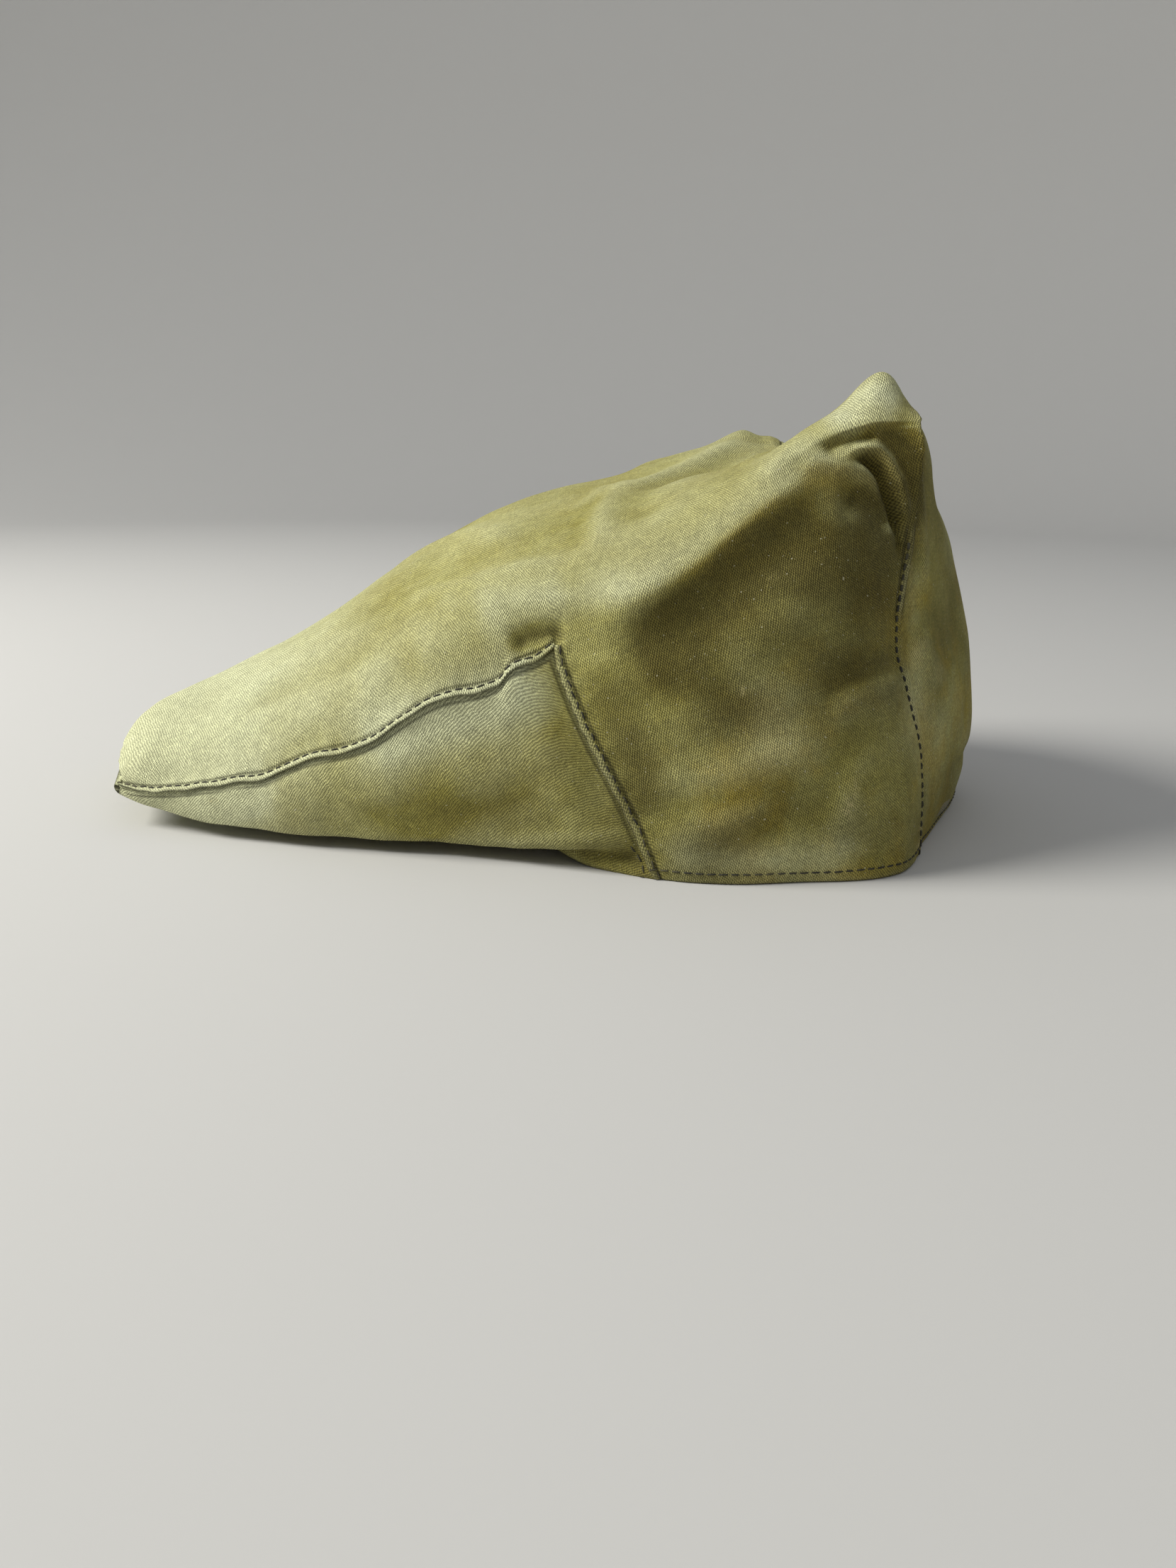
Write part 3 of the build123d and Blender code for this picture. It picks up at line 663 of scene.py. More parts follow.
def turn_up(cloth, edge):
    """Fold the hem up inside. The edge is the lowest row of points, already curled in by round_hem."""
    up = np.array([0, 0, 1.0])
    out = unit(cloth.normals()[edge] * (1, 1, 0))
    base = cloth.points[edge]
    rows = [base - out * HEM_ROUND * math.sin(turn) + up * HEM_ROUND * (1 - math.cos(turn))
            for turn in np.radians((30, 60, 90))]
    rows += [base - out * (HEM_ROUND + 0.12 * rise) + up * rise for rise in (2.6, 5.0, 9.0)]
    cloth.run_on(edge, rows)


def round_hem(cloth):
    """Curl the lowest millimetre in under itself."""
    low = np.flatnonzero(cloth.points[:, 2] < HEM_ROUND)
    out = unit(cloth.normals()[low] * (1, 1, 0))
    drop = HEM_ROUND - np.clip(cloth.points[low, 2], 0, HEM_ROUND)
    cloth.points[low] -= out * (HEM_ROUND - np.sqrt(HEM_ROUND**2 - drop**2))[:, None]


# ---------------------------------------------------------------- the three panels, shaped
def first_columns(index):
    return index[:, :SEAM_REACH]


crown = make_crown()
peak_panel = make_peak_panel()
back = make_back()
side = len(SIDE_COLS)
body = crown.body_index
peak_strips = {
    "left_peak_seam": first_columns(crown.joined),
    "right_peak_seam": first_columns(crown.joined[:, ::-1]),
    "front_edge": first_columns(crown.joined.T),
}
side_strips = {
    "left_side_seam": first_columns(body[:, :side].T),
    "right_side_seam": first_columns(body[:, ::-1][:, :side].T),
}
back_strips = {
    "left_back_seam": first_columns(body[::-1, :side].T),
    "right_back_seam": first_columns(body[::-1, ::-1][:, :side].T),
    "back_top_seam": first_columns(body[::-1, side - 1:1 - side].T),
}
strips = {**peak_strips, **side_strips, **back_strips}
down = peak_panel.n_down
peak_panel_strips = [
    first_columns(peak_panel.index),
    first_columns(peak_panel.index[:, ::-1]),
    first_columns(peak_panel.index[::-1, :down].T),
    first_columns(peak_panel.index[::-1, ::-1][:, :down].T),
    first_columns(peak_panel.wall.T),
]
back_panel_strips = [
    first_columns(back.index),
    first_columns(back.index[:, ::-1]),
    first_columns(back.index[::-1].T),
]


def shape(cloth, seams, seed):
    """Press the folds into a panel, leaving its seams in place, then move it with its neighbours."""
    near, along = edge_distances(cloth, seams)
    normals = cloth.normals()
    push = pressed(cloth, LEFT_FOLDS, "left", normals) + pressed(cloth, RIGHT_FOLDS, "right", normals)
    push += pressed(cloth, TOP_FOLDS, "top", normals) + pressed(cloth, BACK_FOLDS, "back", normals)
    push += 0.4 * ripple(cloth.points, 40, seed) + 0.07 * ripple(cloth.points, 14, seed + 1)
    push *= smooth(near / 5)
    cloth.points += normals * push[:, None]
    cloth.points += sway(cloth.points)
    cloth.points[:, 2] = np.maximum(cloth.points[:, 2], 0)
    return near, along


def tuck(cloth, near):
    """Sink a panel's edge a little where the crown laps over it."""
    cloth.points -= cloth.normals() * (0.6 * np.exp(-(near / 1.5)**2))[:, None]


def standing(points):
    """How proud the seams stand: nearly flat on the near back seam, apart from a stretch below the ear."""
    x, y, z = points.T
    raised = smooth((z - 68) / 6) * smooth((98 - z) / 6)
    return 1 - 0.85 * smooth((x - 85) / 6) * smooth((-y - 30) / 10) * (1 - raised)


def raise_welts(cloth, near, along):
    """Build up the crown's seams: a folded edge that laps over its neighbour, and small puckers beside it."""
    normals = cloth.normals()
    strength = standing(cloth.points)
    pucker = np.sin(along * 2 * math.pi / 6.5 + 2.0 * np.sin(along / 11)) * 0.5 + 0.5
    pucker *= np.exp(-((near - 4.0) / 2.2)**2)
    height = welt_profile(near) * strength * (0.9 + 0.18 * np.sin(along / 2.9) * np.sin(along / 7.7))
    cloth.points += normals * (height - 0.3 * pucker)[:, None]


def overlap(cloth, seams, reach=0.8):
    """Carry the crown's folded edge slightly past the seam, so it covers the neighbour's edge."""
    for strip in seams.values():
        grid = cloth.points[strip]
        outward = unit(grid[:, 0] - grid[:, 3])
        fall = np.exp(-(arc_lengths(grid, 1) / 1.6)**2)
        run = arc_lengths(grid[:, 0], 0)
        past = reach * (1 + 0.25 * np.sin(np.arange(len(strip)) * 0.9))
        past *= smooth(np.minimum(run, run[-1] - run) / 5)
        cloth.points[strip] += outward[:, None] * (fall * past[:, None])[..., None]


near_crown, along_crown = shape(crown, strips.values(), 3)
near_peak, _ = shape(peak_panel, peak_panel_strips, 5)
near_back, _ = shape(back, back_panel_strips, 8)
raise_welts(crown, near_crown, along_crown)
overlap(crown, strips)
tuck(peak_panel, near_peak)
tuck(back, near_back)
crown_normals = crown.normals()
top_at = np.concatenate([PEAK_ROWS[:-1], [7.0]])
seam_at = np.interp(peak_panel.down_at, range(5), SEAM_TO_FOLD)
front_at = np.interp(peak_panel.over_at, range(9), FRONT_STATIONS)
# Each lap: the panel and its edge, where the edge's points lie, the crown's seam, and where that seam's
# points lie.
LAPS = [
    (peak_panel, peak_panel.index[:, 0], peak_panel.row_at, "left_peak_seam", top_at),
    (peak_panel, peak_panel.index[:, -1], peak_panel.row_at, "right_peak_seam", top_at),
    (peak_panel, peak_panel.index[-1, :down], seam_at, "left_side_seam", SIDE_COLS),
    (peak_panel, peak_panel.index[-1, ::-1][:down], seam_at, "right_side_seam", SIDE_COLS),
    (peak_panel, peak_panel.wall[0], front_at, "front_edge", TOP_COLS),
    (back, back.index[:, 0], back.seam_at, "left_back_seam", SIDE_COLS),
    (back, back.index[:, -1], back.seam_at, "right_back_seam", SIDE_COLS),
    (back, back.index[-1], back.around_at, "back_top_seam", TOP_COLS),
]
for cloth, edge, edge_at, seam, crown_at in LAPS:
    lap_under(cloth, edge, edge_at, strips[seam], crown_at, crown_normals)
thread_lines = {name: inset_line(crown, strip, WELT + 0.3, crown_normals) for name, strip in strips.items()}
for name, clearance in (("back_top_seam", 22.0), ("front_edge", 4.0)):
    line, up = thread_lines[name]
    clear = np.minimum(arc_lengths(line, 0), arc_lengths(line[::-1], 0)[::-1]) > clearance
    thread_lines[name] = (line[clear], up[clear])
for name in ("left_back_seam", "right_back_seam"):
    line, up = thread_lines[name]
    shows = line[:, 2] < STITCHED_TO
    thread_lines[name] = (line[shows], up[shows])

for cloth in (crown, peak_panel, back):
    cloth.points[:, 2] = np.maximum(cloth.points[:, 2], 0)
for cloth, edges in ((crown, (body[:, 0], body[:, -1])), (back, (back.index[0],))):
    round_hem(cloth)
    for edge in edges:
        turn_up(cloth, edge)


# ---------------------------------------------------------------- pieces
def relief(cloth):
    """How far each point stands proud of its neighbours, smoothed, in millimetres."""
    a = cloth.quads.ravel()
    b = np.roll(cloth.quads, -1, axis=1).ravel()
    count = np.zeros(len(cloth.points))
    np.add.at(count, a, 1)
    np.add.at(count, b, 1)
    smoothed = cloth.points
    for _ in range(24):
        total = np.zeros_like(cloth.points)
        np.add.at(total, a, smoothed[b])
        np.add.at(total, b, smoothed[a])
        smoothed = 0.4 * smoothed + 0.6 * total / count[:, None]
    return np.sum((cloth.points - smoothed) * cloth.normals(), axis=1)


def wear_and_painted_light(cloth, near):
    """Fading with painted light, soiling with painted shade, painted seam shadows with some grime, and rubbed
    spots for each point, from 0 to 1.
    """
    extra = len(cloth.points) - len(near)
    near = np.concatenate([near, np.full(extra, 3.0)])
    x, y, z = cloth.points.T
    normals = cloth.normals()
    proud = relief(cloth)
    fade = 0.9 * smooth((-30 - x) / 105)
    # Up-facing cloth painted paler: sun fading together with painted light from above.
    fade += 0.16 * smooth((normals[:, 2] - 0.25) / 0.5)
    # Seam edges and proud ridges painted paler: rubbed wear with a painted highlight; hollows get less.
    fade += 0.35 * np.exp(-((near - 0.9) / 0.7)**2) * standing(cloth.points)
    fade += np.clip(proud * 0.3, -0.15, 0.25) + 0.1 * ripple(cloth.points, 60, 21)
    # Strokes on the near side: painted light and shade mixed with real fading and soiling.
    shade = pressed(cloth, LEFT_LIGHT_SHADE_AND_WEAR, "left", normals)
    fade += np.maximum(shade, 0)
    # Steep sides facing away from the key light are painted darker, more so higher up, and hollows are
    # painted darker too: painted shade with some soiling.
    steep = smooth((0.62 - normals[:, 2]) / 0.35)
    shaded = smooth((x - 12) / 26) * steep * (1 - 0.45 * smooth((x - 97) / 6))
    dirt = (0.28 + 0.42 * smooth((z - 26) / 30)) * shaded + np.clip(-proud * 0.35, 0, 0.4)
    # Near-black lines painted under each seam's folded edge and along its stitch groove: painted shadow, with
    # some grime.
    seam_shadow_and_grime = 0.9 * np.exp(-(near / 0.35)**2) + 0.8 * np.exp(-((near - WELT - 0.3) / 0.36)**2)
    seam_shadow_and_grime *= standing(cloth.points)
    tan = 0.15 + 0.85 * smooth((x - 14) / 30) * steep
    dirt -= shade
    dirt += 0.22 * ripple(cloth.points, 30, 22) * shaded
    # Darker low on the steep sides from x = -30 back.
    dirt += 0.35 * smooth((x + 30) / 40) * smooth((30 - z) / 20) * steep
    rubbed = np.zeros(len(x))
    for at_x, at_z, radius in SCUFFS:
        gap = np.hypot(x - at_x, z - at_z)
        rubbed += np.exp(-(gap / radius)**2) * (y < -40)
    fields = {"fade": fade, "dirt": dirt, "tan": tan, "seam_shadow_and_grime": seam_shadow_and_grime, "rubbed": rubbed}
    return {name: np.clip(amount, 0, 1) for name, amount in fields.items()}


def put(name, data):
    thing = bpy.data.objects.new(name, data)
    bpy.context.scene.collection.objects.link(thing)
    return thing


def build_mesh(name, points, faces, weave=None, layers=None):
    """A smooth-shaded object in the row frame, from points in millimetres."""
    mesh = bpy.data.meshes.new(name)
    place = (points + np.array([SHIFT_X, 0, 0])) * MM
    mesh.from_pydata(place.tolist(), [], [list(map(int, face)) for face in faces])
    if weave is not None:
        uv = mesh.uv_layers.new(name="weave")
        loops = np.empty(len(mesh.loops), int)
        mesh.loops.foreach_get("vertex_index", loops)
        uv.data.foreach_set("uv", weave[loops].astype(np.float32).ravel())
    for key, values in (layers or {}).items():
        layer = mesh.attributes.new(key, "FLOAT", "POINT")
        layer.data.foreach_set("value", np.asarray(values, np.float32))
    mesh.polygons.foreach_set("use_smooth", np.ones(len(mesh.polygons), bool))
    mesh.update()
    return put(name, mesh)


def thicken(piece, thickness):
    """Give the cloth its thickness, inwards from the face that shows."""
    solid = piece.modifiers.new("cloth", "SOLIDIFY")
    solid.thickness = thickness * MM
    solid.offset = -1
    solid.use_even_offset = False


def dress(piece, material, node):
    piece.data.materials.append(material)
    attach(piece, "root")
    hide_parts(node)


def at_even_steps(line, up, pitch):
    """Places along a line at an even pitch: where each is, its direction, and the surface normal there."""
    run = np.concatenate([[0], np.cumsum(np.linalg.norm(np.diff(line, axis=0), axis=1))])
    count = max(int(run[-1] / pitch), 2)
    at = (np.arange(count) + 0.5) * run[-1] / count
    way = unit(read_at(at + 0.4, run, line) - read_at(at - 0.4, run, line))
    normal = read_at(at, run, up)
    normal = unit(normal - way * np.sum(way * normal, axis=1, keepdims=True))
    return read_at(at, run, line), way, normal


# One stitch: stations along it, and the share of its full thickness at each.
STITCH_SPAN = [-1, -0.92, -0.72, -0.3, 0.3, 0.72, 0.92, 1]
STITCH_GIRTH = [0.3, 0.7, 0.95, 1, 1, 0.95, 0.7, 0.3]
SIDES = 7


def stitches(lines, rng, length=2.5, radius=0.26, pitch=PITCH):
    """Lockstitches along lines on the cloth: short bowed capsules whose ends dip into their needle holes."""
    points = []
    faces = []
    for line, up in lines:
        place, way, normal = at_even_steps(line, up, pitch)
        for foot, along, out in zip(place, way, normal):
            across = np.cross(along, out)
            along = along + across * rng.uniform(-0.07, 0.07)
            half = 0.5 * length * rng.uniform(0.88, 1.08)
            base = len(points)
            for span, girth in zip(STITCH_SPAN, STITCH_GIRTH):
                centre = foot + along * half * span + out * (0.16 - 0.34 * span**4)
                for k in range(SIDES):
                    turn = 2 * math.pi * k / SIDES
                    spoke = across * math.cos(turn) + out * math.sin(turn) * 0.85
                    points.append(centre + spoke * radius * girth)
            for ring in range(len(STITCH_SPAN) - 1):
                for k in range(SIDES):
                    a = base + ring * SIDES + k
                    b = base + ring * SIDES + (k + 1) % SIDES
                    faces.append((a, a + SIDES, b + SIDES, b))
            faces.append(tuple(base + k for k in range(SIDES)))
            faces.append(tuple(base + (len(STITCH_SPAN) - 1) * SIDES + k for k in reversed(range(SIDES))))
    points = np.array(points)
    points[:, 2] = np.maximum(points[:, 2], 0.05)      # pressed flat where the cap rests on them
    return points, faces


# ---------------------------------------------------------------- materials
class Nodes:
    """Short calls for building a node material around its Principled shader."""

    def __init__(self, name):
        self.material = bpy.data.materials.new(name)
        self.material.use_nodes = True
        self.tree = self.material.node_tree
        self.shader = self.tree.nodes["Principled BSDF"]

    def feed(self, value, socket):
        if hasattr(value, "is_linked"):
            self.tree.links.new(value, socket)
        elif isinstance(value, tuple) and len(value) == 3 and len(socket.default_value) == 4:
            socket.default_value = (*value, 1)
        else:
            socket.default_value = value

    def node(self, kind, inputs, output=0, **settings):
        """Make a node, with its settings and inputs, and give one of its outputs."""
        node = self.tree.nodes.new("ShaderNode" + kind)
        for key, value in settings.items():
            setattr(node, key, value)
        for key, value in inputs.items():
            self.feed(value, node.inputs[key])
        return node.outputs[output]

    def math(self, operation, a, b=0.0, clamp=False):
        return self.node("Math", {0: a, 1: b}, operation=operation, use_clamp=clamp)

    def vector(self, operation, a, b):
        return self.node("VectorMath", {0: a, 1: b}, operation=operation)

    def times(self, a, b):
        return self.math("MULTIPLY", a, b)

    def plus(self, a, b, clamp=False):
        return self.math("ADD", a, b, clamp)

    def stretched(self, where, by):
        return self.vector("MULTIPLY", where, by)

    def dimmed(self, colour, tone):
        return self.node("VectorMath", {0: colour, 1: (0, 0, 0), "Scale": tone}, operation="SCALE")

    def mix(self, share, a, b):
        return self.node("Mix", {"Factor": share, 6: a, 7: b}, 2, data_type="RGBA")

    def noise(self, where, scale, detail=3.0, roughness=0.55, output="Fac"):
        inputs = {"Vector": where, "Scale": scale, "Detail": detail, "Roughness": roughness}
        return self.node("TexNoise", inputs, output)

    def between(self, value, low, high):
        """0 at low, 1 at high, smoothed."""
        inputs = {"Value": value, "From Min": low, "From Max": high}
        return self.node("MapRange", inputs, "Result", interpolation_type="SMOOTHSTEP")

    def layer(self, name):
        return self.node("Attribute", {}, "Fac", attribute_name=name)

    def place(self):
        return self.node("TexCoord", {}, "Object")

    def weave(self):
        return self.node("UVMap", {}, "UV", uv_map="weave")

    def bump(self, height, distance, strength=1.0, normal=None):
        inputs = {"Strength": strength, "Distance": distance, "Height": height}
        if normal is not None:
            inputs["Normal"] = normal
        return self.node("Bump", inputs, "Normal")

    def finish(self, colour, roughness, normal):
        self.feed(colour, self.shader.inputs["Base Color"])
        self.feed(roughness, self.shader.inputs["Roughness"])
        self.feed(normal, self.shader.inputs["Normal"])
        return self.material


def split(n, vector):
    return n.node("SeparateXYZ", {0: vector}, 0), n.node("SeparateXYZ", {0: vector}, 1)


def plain_weave(n, yarn_u, yarn_v):
    """Height of a plain weave, 0 to 1, with slightly wandering and uneven yarns."""
    where = n.weave()
    wander = n.noise(where, 0.3, 2.0, 0.5, "Color")
    shift = n.stretched(n.vector("SUBTRACT", wander, (0.5, 0.5, 0.5)), (1.1, 1.1, 0))
    u, v = split(n, n.vector("ADD", where, shift))
    warp = n.math("SINE", n.times(u, math.pi / yarn_u))
    weft = n.math("SINE", n.times(v, math.pi / yarn_v))
    return n.plus(n.times(n.times(warp, weft), 0.5), 0.5)


def canvas_material():
    n = Nodes("olive_canvas")
    where = n.place()
    cloth = n.weave()
    knot = plain_weave(n, *YARNS)
    slub_u = n.noise(n.stretched(cloth, (0.12, 1.5, 1)), 1.0, 2.0)
    slub_v = n.noise(n.stretched(cloth, (1.5, 0.12, 1)), 1.0, 2.0)
    dots = n.noise(cloth, 1.5, 1.0, 0.6)
    fuzz = n.noise(where, 2600, 2.0)
    grain = n.noise(where, 900, 3.0, 0.6)
    mottle = n.noise(where, 330, 4.0, 0.75)
    crumple = n.math("ABSOLUTE", n.math("SUBTRACT", n.noise(where, 62, 3.0, 0.45), 0.5))
    cloud = n.noise(where, 24, 6.0, 0.65)
    stain = n.noise(n.vector("ADD", where, (0.31, 0.12, 0.05)), 36, 6.0, 0.62)
    patchy = n.math("SUBTRACT", 0.5, n.times(n.layer("tan"), 0.25))
    # Fading together with painted light, and soiling together with painted shade, from the point layers.
    fade = n.plus(n.layer("fade"), n.times(n.math("SUBTRACT", cloud, 0.5), patchy), clamp=True)
    soil_and_shade_amount = n.plus(n.layer("dirt"), n.times(n.math("SUBTRACT", stain, 0.5), 0.45), clamp=True)
    colour = n.mix(n.between(cloud, 0.35, 0.68), (0.275, 0.248, 0.062), (0.375, 0.352, 0.115))
    stained = n.times(n.between(stain, 0.42, 0.62), n.layer("tan"))
    colour = n.mix(stained, colour, (0.38, 0.30, 0.052))
    # Pale faded colour, which also carries painted light on tops, ridges and the shoulder.
    colour = n.mix(fade, colour, (0.56, 0.572, 0.35))
    # Dark soiled colour, which also carries painted shade on the steep sides and in hollows.
    colour = n.mix(n.times(soil_and_shade_amount, 0.9), colour, (0.092, 0.076, 0.018))
    # Near-black painted shadow along the seams' edges and stitch grooves.
    colour = n.mix(n.times(n.layer("seam_shadow_and_grime"), 0.85), colour, (0.035, 0.032, 0.016))
    frayed = n.times(n.layer("rubbed"), n.between(grain, 0.35, 0.7))
    colour = n.mix(frayed, colour, (0.46, 0.40, 0.19))
    knot = n.times(knot, n.plus(n.times(dots, 1.5), 0.25))
    # The weave's gaps darker and its crossings lighter: painted shade and highlight at the yarn's scale;
    # slubs, grain and mottle then vary it at random.
    tone = n.plus(n.times(knot, 1.25), 0.36)
    for pattern, strength, floor in ((slub_u, 0.35, 0.83), (slub_v, 0.35, 0.83),
                                     (grain, 0.7, 0.65), (mottle, 0.7, 0.65)):
        tone = n.times(tone, n.plus(n.times(pattern, strength), floor))
    speck = n.between(n.noise(where, 1500, 0.0), 0.80, 0.86)
    colour = n.dimmed(colour, tone)
    colour = n.mix(n.times(speck, 0.6), colour, (0.6, 0.58, 0.42))
    height = n.plus(knot, n.times(n.plus(slub_u, slub_v), 0.4))
    normal = n.bump(crumple, 0.0022, 0.5)
    normal = n.bump(height, 0.00026, 0.9, normal)
    normal = n.bump(fuzz, 0.00012, 0.45, normal)
    normal = n.bump(grain, 0.0003, 0.25, normal)
    roughness = n.math("SUBTRACT", 0.97, n.times(knot, 0.12))
    n.shader.inputs["Sheen Weight"].default_value = 0.04
    n.shader.inputs["Sheen Roughness"].default_value = 0.6
    n.shader.inputs["Specular IOR Level"].default_value = 0.1
    return n.finish(colour, roughness, normal)


def thread_material():
    n = Nodes("sewing_thread")
    where = n.place()
    twist = n.noise(where, 2200, 2.0)
    wornness = n.noise(where, 60, 2.0)
    colour = n.mix(n.between(wornness, 0.5, 0.7), (0.022, 0.021, 0.012), (0.065, 0.058, 0.028))
    colour = n.mix(n.between(twist, 0.55, 0.75), colour, (0.13, 0.12, 0.065))
    normal = n.bump(twist, 0.0002, 0.6)
    roughness = n.plus(0.6, n.times(twist, 0.3))
    return n.finish(colour, roughness, normal)


def band_material():
    n = Nodes("twill_tape")
    u, v = split(n, n.weave())
    rib = n.math("SINE", n.times(n.plus(u, n.times(v, 1.6)), 2 * math.pi / 1.5))
    rib = n.plus(n.times(rib, 0.5), 0.5)
    where = n.place()
    stain = n.noise(where, 30, 4.0)
    fuzz = n.noise(where, 1800, 2.0)
    colour = n.mix(n.between(stain, 0.35, 0.7), (0.20, 0.18, 0.09), (0.30, 0.27, 0.15))
    colour = n.mix(n.times(rib, 0.4), colour, (0.11, 0.095, 0.045))
    normal = n.bump(rib, 0.0003, 0.6)
    normal = n.bump(fuzz, 0.00012, 0.4, normal)
    n.shader.inputs["Sheen Weight"].default_value = 0.1
    return n.finish(colour, n.plus(0.8, n.times(fuzz, 0.15)), normal)


def board_material():
    n = Nodes("peak_board_sheet")
    where = n.place()
    fibre = n.noise(n.stretched(where, (1, 5, 1)), 400, 4.0)
    blot = n.noise(where, 25, 3.0)
    colour = n.mix(n.between(blot, 0.35, 0.7), (0.60, 0.57, 0.50), (0.50, 0.46, 0.38))
    colour = n.mix(n.between(fibre, 0.55, 0.75), colour, (0.40, 0.36, 0.29))
    return n.finish(colour, n.plus(0.5, n.times(fibre, 0.25)), n.bump(fibre, 0.0002, 0.4))


# ---------------------------------------------------------------- building the cap
canvas = canvas_material()
thread = thread_material()
for name, cloth, near, node in (("crown_cloth", crown, near_crown, "crown_panel"),
                                ("peak_cloth", peak_panel, near_peak, "peak_panel"),
                                ("back_cloth", back, near_back, "back_panel")):
    piece = build_mesh(name, cloth.points, cloth.quads, cloth.weave, wear_and_painted_light(cloth, near))
    thicken(piece, CLOTH)
    dress(piece, canvas, node)

crown_normals = crown.normals()
floor_rows = peak_panel.index[::-1, down - 1:1 - down].T
hem_lines = [
    inset_line(crown, first_columns(body), HEM_ROW, crown_normals),
    inset_line(back, first_columns(back.index.T), HEM_ROW, back.normals()),
    inset_line(crown, first_columns(body[:, ::-1]), HEM_ROW, crown_normals),
]
opening_line = inset_line(peak_panel, floor_rows, HEM_ROW, peak_panel.normals())
random_state = np.random.RandomState(11)
for name, line in thread_lines.items():
    bold = {"radius": 0.42, "length": 2.0, "pitch": 2.9} if name.endswith("back_seam") else {}
    points, faces = stitches([line], random_state, **bold)
    dress(build_mesh(name + "_thread", points, faces), thread, name + "_stitches")
for name, lines in (("hem", hem_lines), ("opening_edge", [opening_line])):
    points, faces = stitches(lines, random_state)
    dress(build_mesh(name + "_thread", points, faces), thread, name + "_stitches")


# The head opening's outline, where the sweatband is sewn: one half, from front to back.
BAND_PLAN = [(-37, 0), (-24, -33), (2, -62), (28, -81), (60, -86), (84, -80.5), (104, -62), (119, -42),
             (129, -22), (134, 0)]
BAND_BOTTOM = 4.5
BAND_TOP = 32.5
BAND_LEAN = 4.0
BAND_THICK = 1.0


def band_cloth():
    """The sweatband: a strip round the opening that leans in towards its top, joined at the back."""
    half = spread(BAND_PLAN, np.linspace(0, len(BAND_PLAN) - 1, 150))
    loop = np.concatenate([half, (half * (1, -1))[-2:0:-1]])
    loop = np.roll(loop, len(loop) // 2, axis=0)
    loop = np.concatenate([loop, loop[:1]])
    middle = np.array([(BAND_PLAN[0][0] + BAND_PLAN[-1][0]) / 2, 0])
    levels = np.linspace(0, 1, 21)
    around = np.concatenate([[0], np.cumsum(np.linalg.norm(np.diff(loop, axis=0), axis=1))])
    grid = np.empty((len(levels), len(loop), 3))
    for i, level in enumerate(levels):
        spoke = loop - middle
        reach = np.linalg.norm(spoke, axis=1, keepdims=True)
        inset = 1.7 + BAND_LEAN * level + 0.5 * level * np.sin(around / 9.0 + 1.0) * np.sin(around / 23.0)
        grid[i, :, :2] = middle + spoke * (1 - inset[:, None] / reach)
        grid[i, :, 2] = BAND_BOTTOM + (BAND_TOP - BAND_BOTTOM) * level - 0.4 * level * np.sin(around / 14.0)
    index = np.arange(grid.shape[0] * grid.shape[1]).reshape(grid.shape[:2])
    weave = np.stack(np.broadcast_arrays(around[None], levels[:, None] * (BAND_TOP - BAND_BOTTOM)), -1)
    cloth = Cloth(grid.reshape(-1, 3), grid_quads(index)[:, ::-1], weave.reshape(-1, 2))
    return cloth


band = band_cloth()
band_piece = build_mesh("sweatband_cloth", band.points, band.quads, band.weave)
thicken(band_piece, BAND_THICK)
dress(band_piece, band_material(), "sweatband")
board = board_material()
board_mesh = bpy.data.objects["peak_board"].data
if not board_mesh.materials:
    board_mesh.materials.append(board)
for k in range(len(board_mesh.materials)):
    bpy.data.objects["peak_board"].material_slots[k].material = board


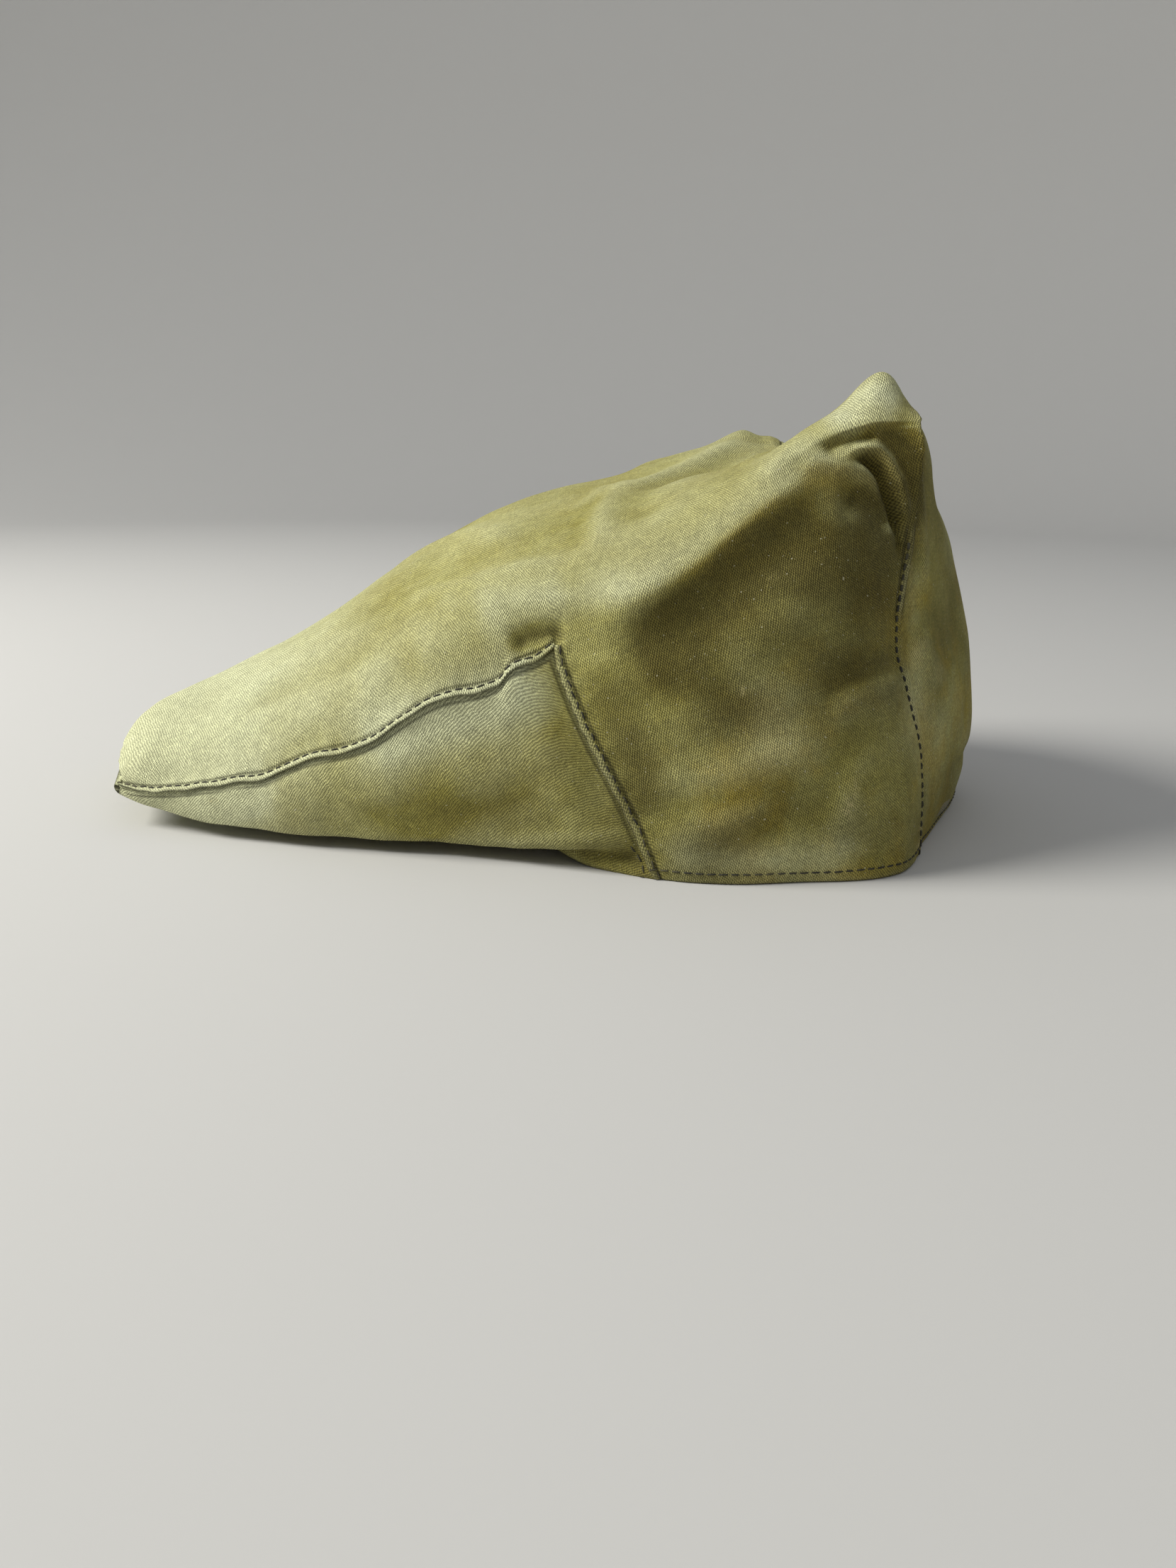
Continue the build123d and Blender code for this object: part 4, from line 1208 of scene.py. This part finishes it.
# ---------------------------------------------------------------- stage, light and camera
def make_stage():
    """A pale round floor that sweeps up into a wall, well away from the cap on every side."""
    reach = 2.0
    bend = 0.7
    profile = [(0.4, 0.0), (reach - bend, 0.0)]
    for k in range(1, 13):
        turn = math.pi / 2 * k / 12
        profile.append((reach - bend + bend * math.sin(turn), bend - bend * math.cos(turn)))
    profile.append((reach, 1.5))
    around = 96
    points = [(0, 0, 0)]
    for radius, height in profile:
        for k in range(around):
            turn = 2 * math.pi * k / around
            points.append((radius * math.cos(turn), radius * math.sin(turn), height))
    faces = [(0, 1 + k, 1 + (k + 1) % around) for k in range(around)]
    for ring in range(len(profile) - 1):
        base = 1 + ring * around
        for k in range(around):
            beside = (k + 1) % around
            faces.append((base + k, base + k + around, base + beside + around, base + beside))
    mesh = bpy.data.meshes.new("floor")
    mesh.from_pydata(points, [], faces)
    mesh.polygons.foreach_set("use_smooth", [True] * len(faces))
    floor = put("floor", mesh)
    paint = bpy.data.materials.new("floor_paint")
    paint.use_nodes = True
    shader = paint.node_tree.nodes["Principled BSDF"]
    shader.inputs["Base Color"].default_value = (0.55, 0.545, 0.53, 1)
    shader.inputs["Roughness"].default_value = 0.9
    mesh.materials.append(paint)


def area_light(name, place, target, size, power, colour):
    data = bpy.data.lights.new(name, "AREA")
    data.shape = "DISK"
    data.size = size
    data.energy = power
    data.color = colour
    lamp = put(name, data)
    lamp.location = place
    aim = Vector(target) - Vector(place)
    lamp.rotation_euler = aim.to_track_quat("-Z", "Y").to_euler()


def make_camera():
    pitch = math.radians(16.14)
    roll = math.radians(0.84)
    forward = Vector((0, math.cos(pitch), -math.sin(pitch)))
    level = Vector((1, 0, 0))
    raised = Vector((0, math.sin(pitch), math.cos(pitch)))
    right = level * math.cos(roll) + raised * math.sin(roll)
    up = raised * math.cos(roll) - level * math.sin(roll)
    turn = Matrix((right, up, -forward)).transposed().to_4x4()
    data = bpy.data.cameras.new("camera")
    data.sensor_fit = "VERTICAL"
    data.sensor_height = 36
    data.lens = 28.09
    data.clip_start = 0.01
    camera = put("camera", data)
    camera.matrix_world = Matrix.Translation(((8 + SHIFT_X) * MM, -0.408, 0.120)) @ turn
    bpy.context.scene.camera = camera


make_stage()
area_light("key", (-1.15, -0.14, 0.97), (0, 0, 0.05), 0.7, 27, (1.0, 0.98, 0.92))
world = bpy.data.worlds.new("world")
bpy.context.scene.world = world
world.use_nodes = True
world.node_tree.nodes["Background"].inputs["Color"].default_value = (0.92, 0.95, 1.0, 1)
world.node_tree.nodes["Background"].inputs["Strength"].default_value = 0.46
bpy.context.scene.view_settings.view_transform = "Standard"
make_camera()
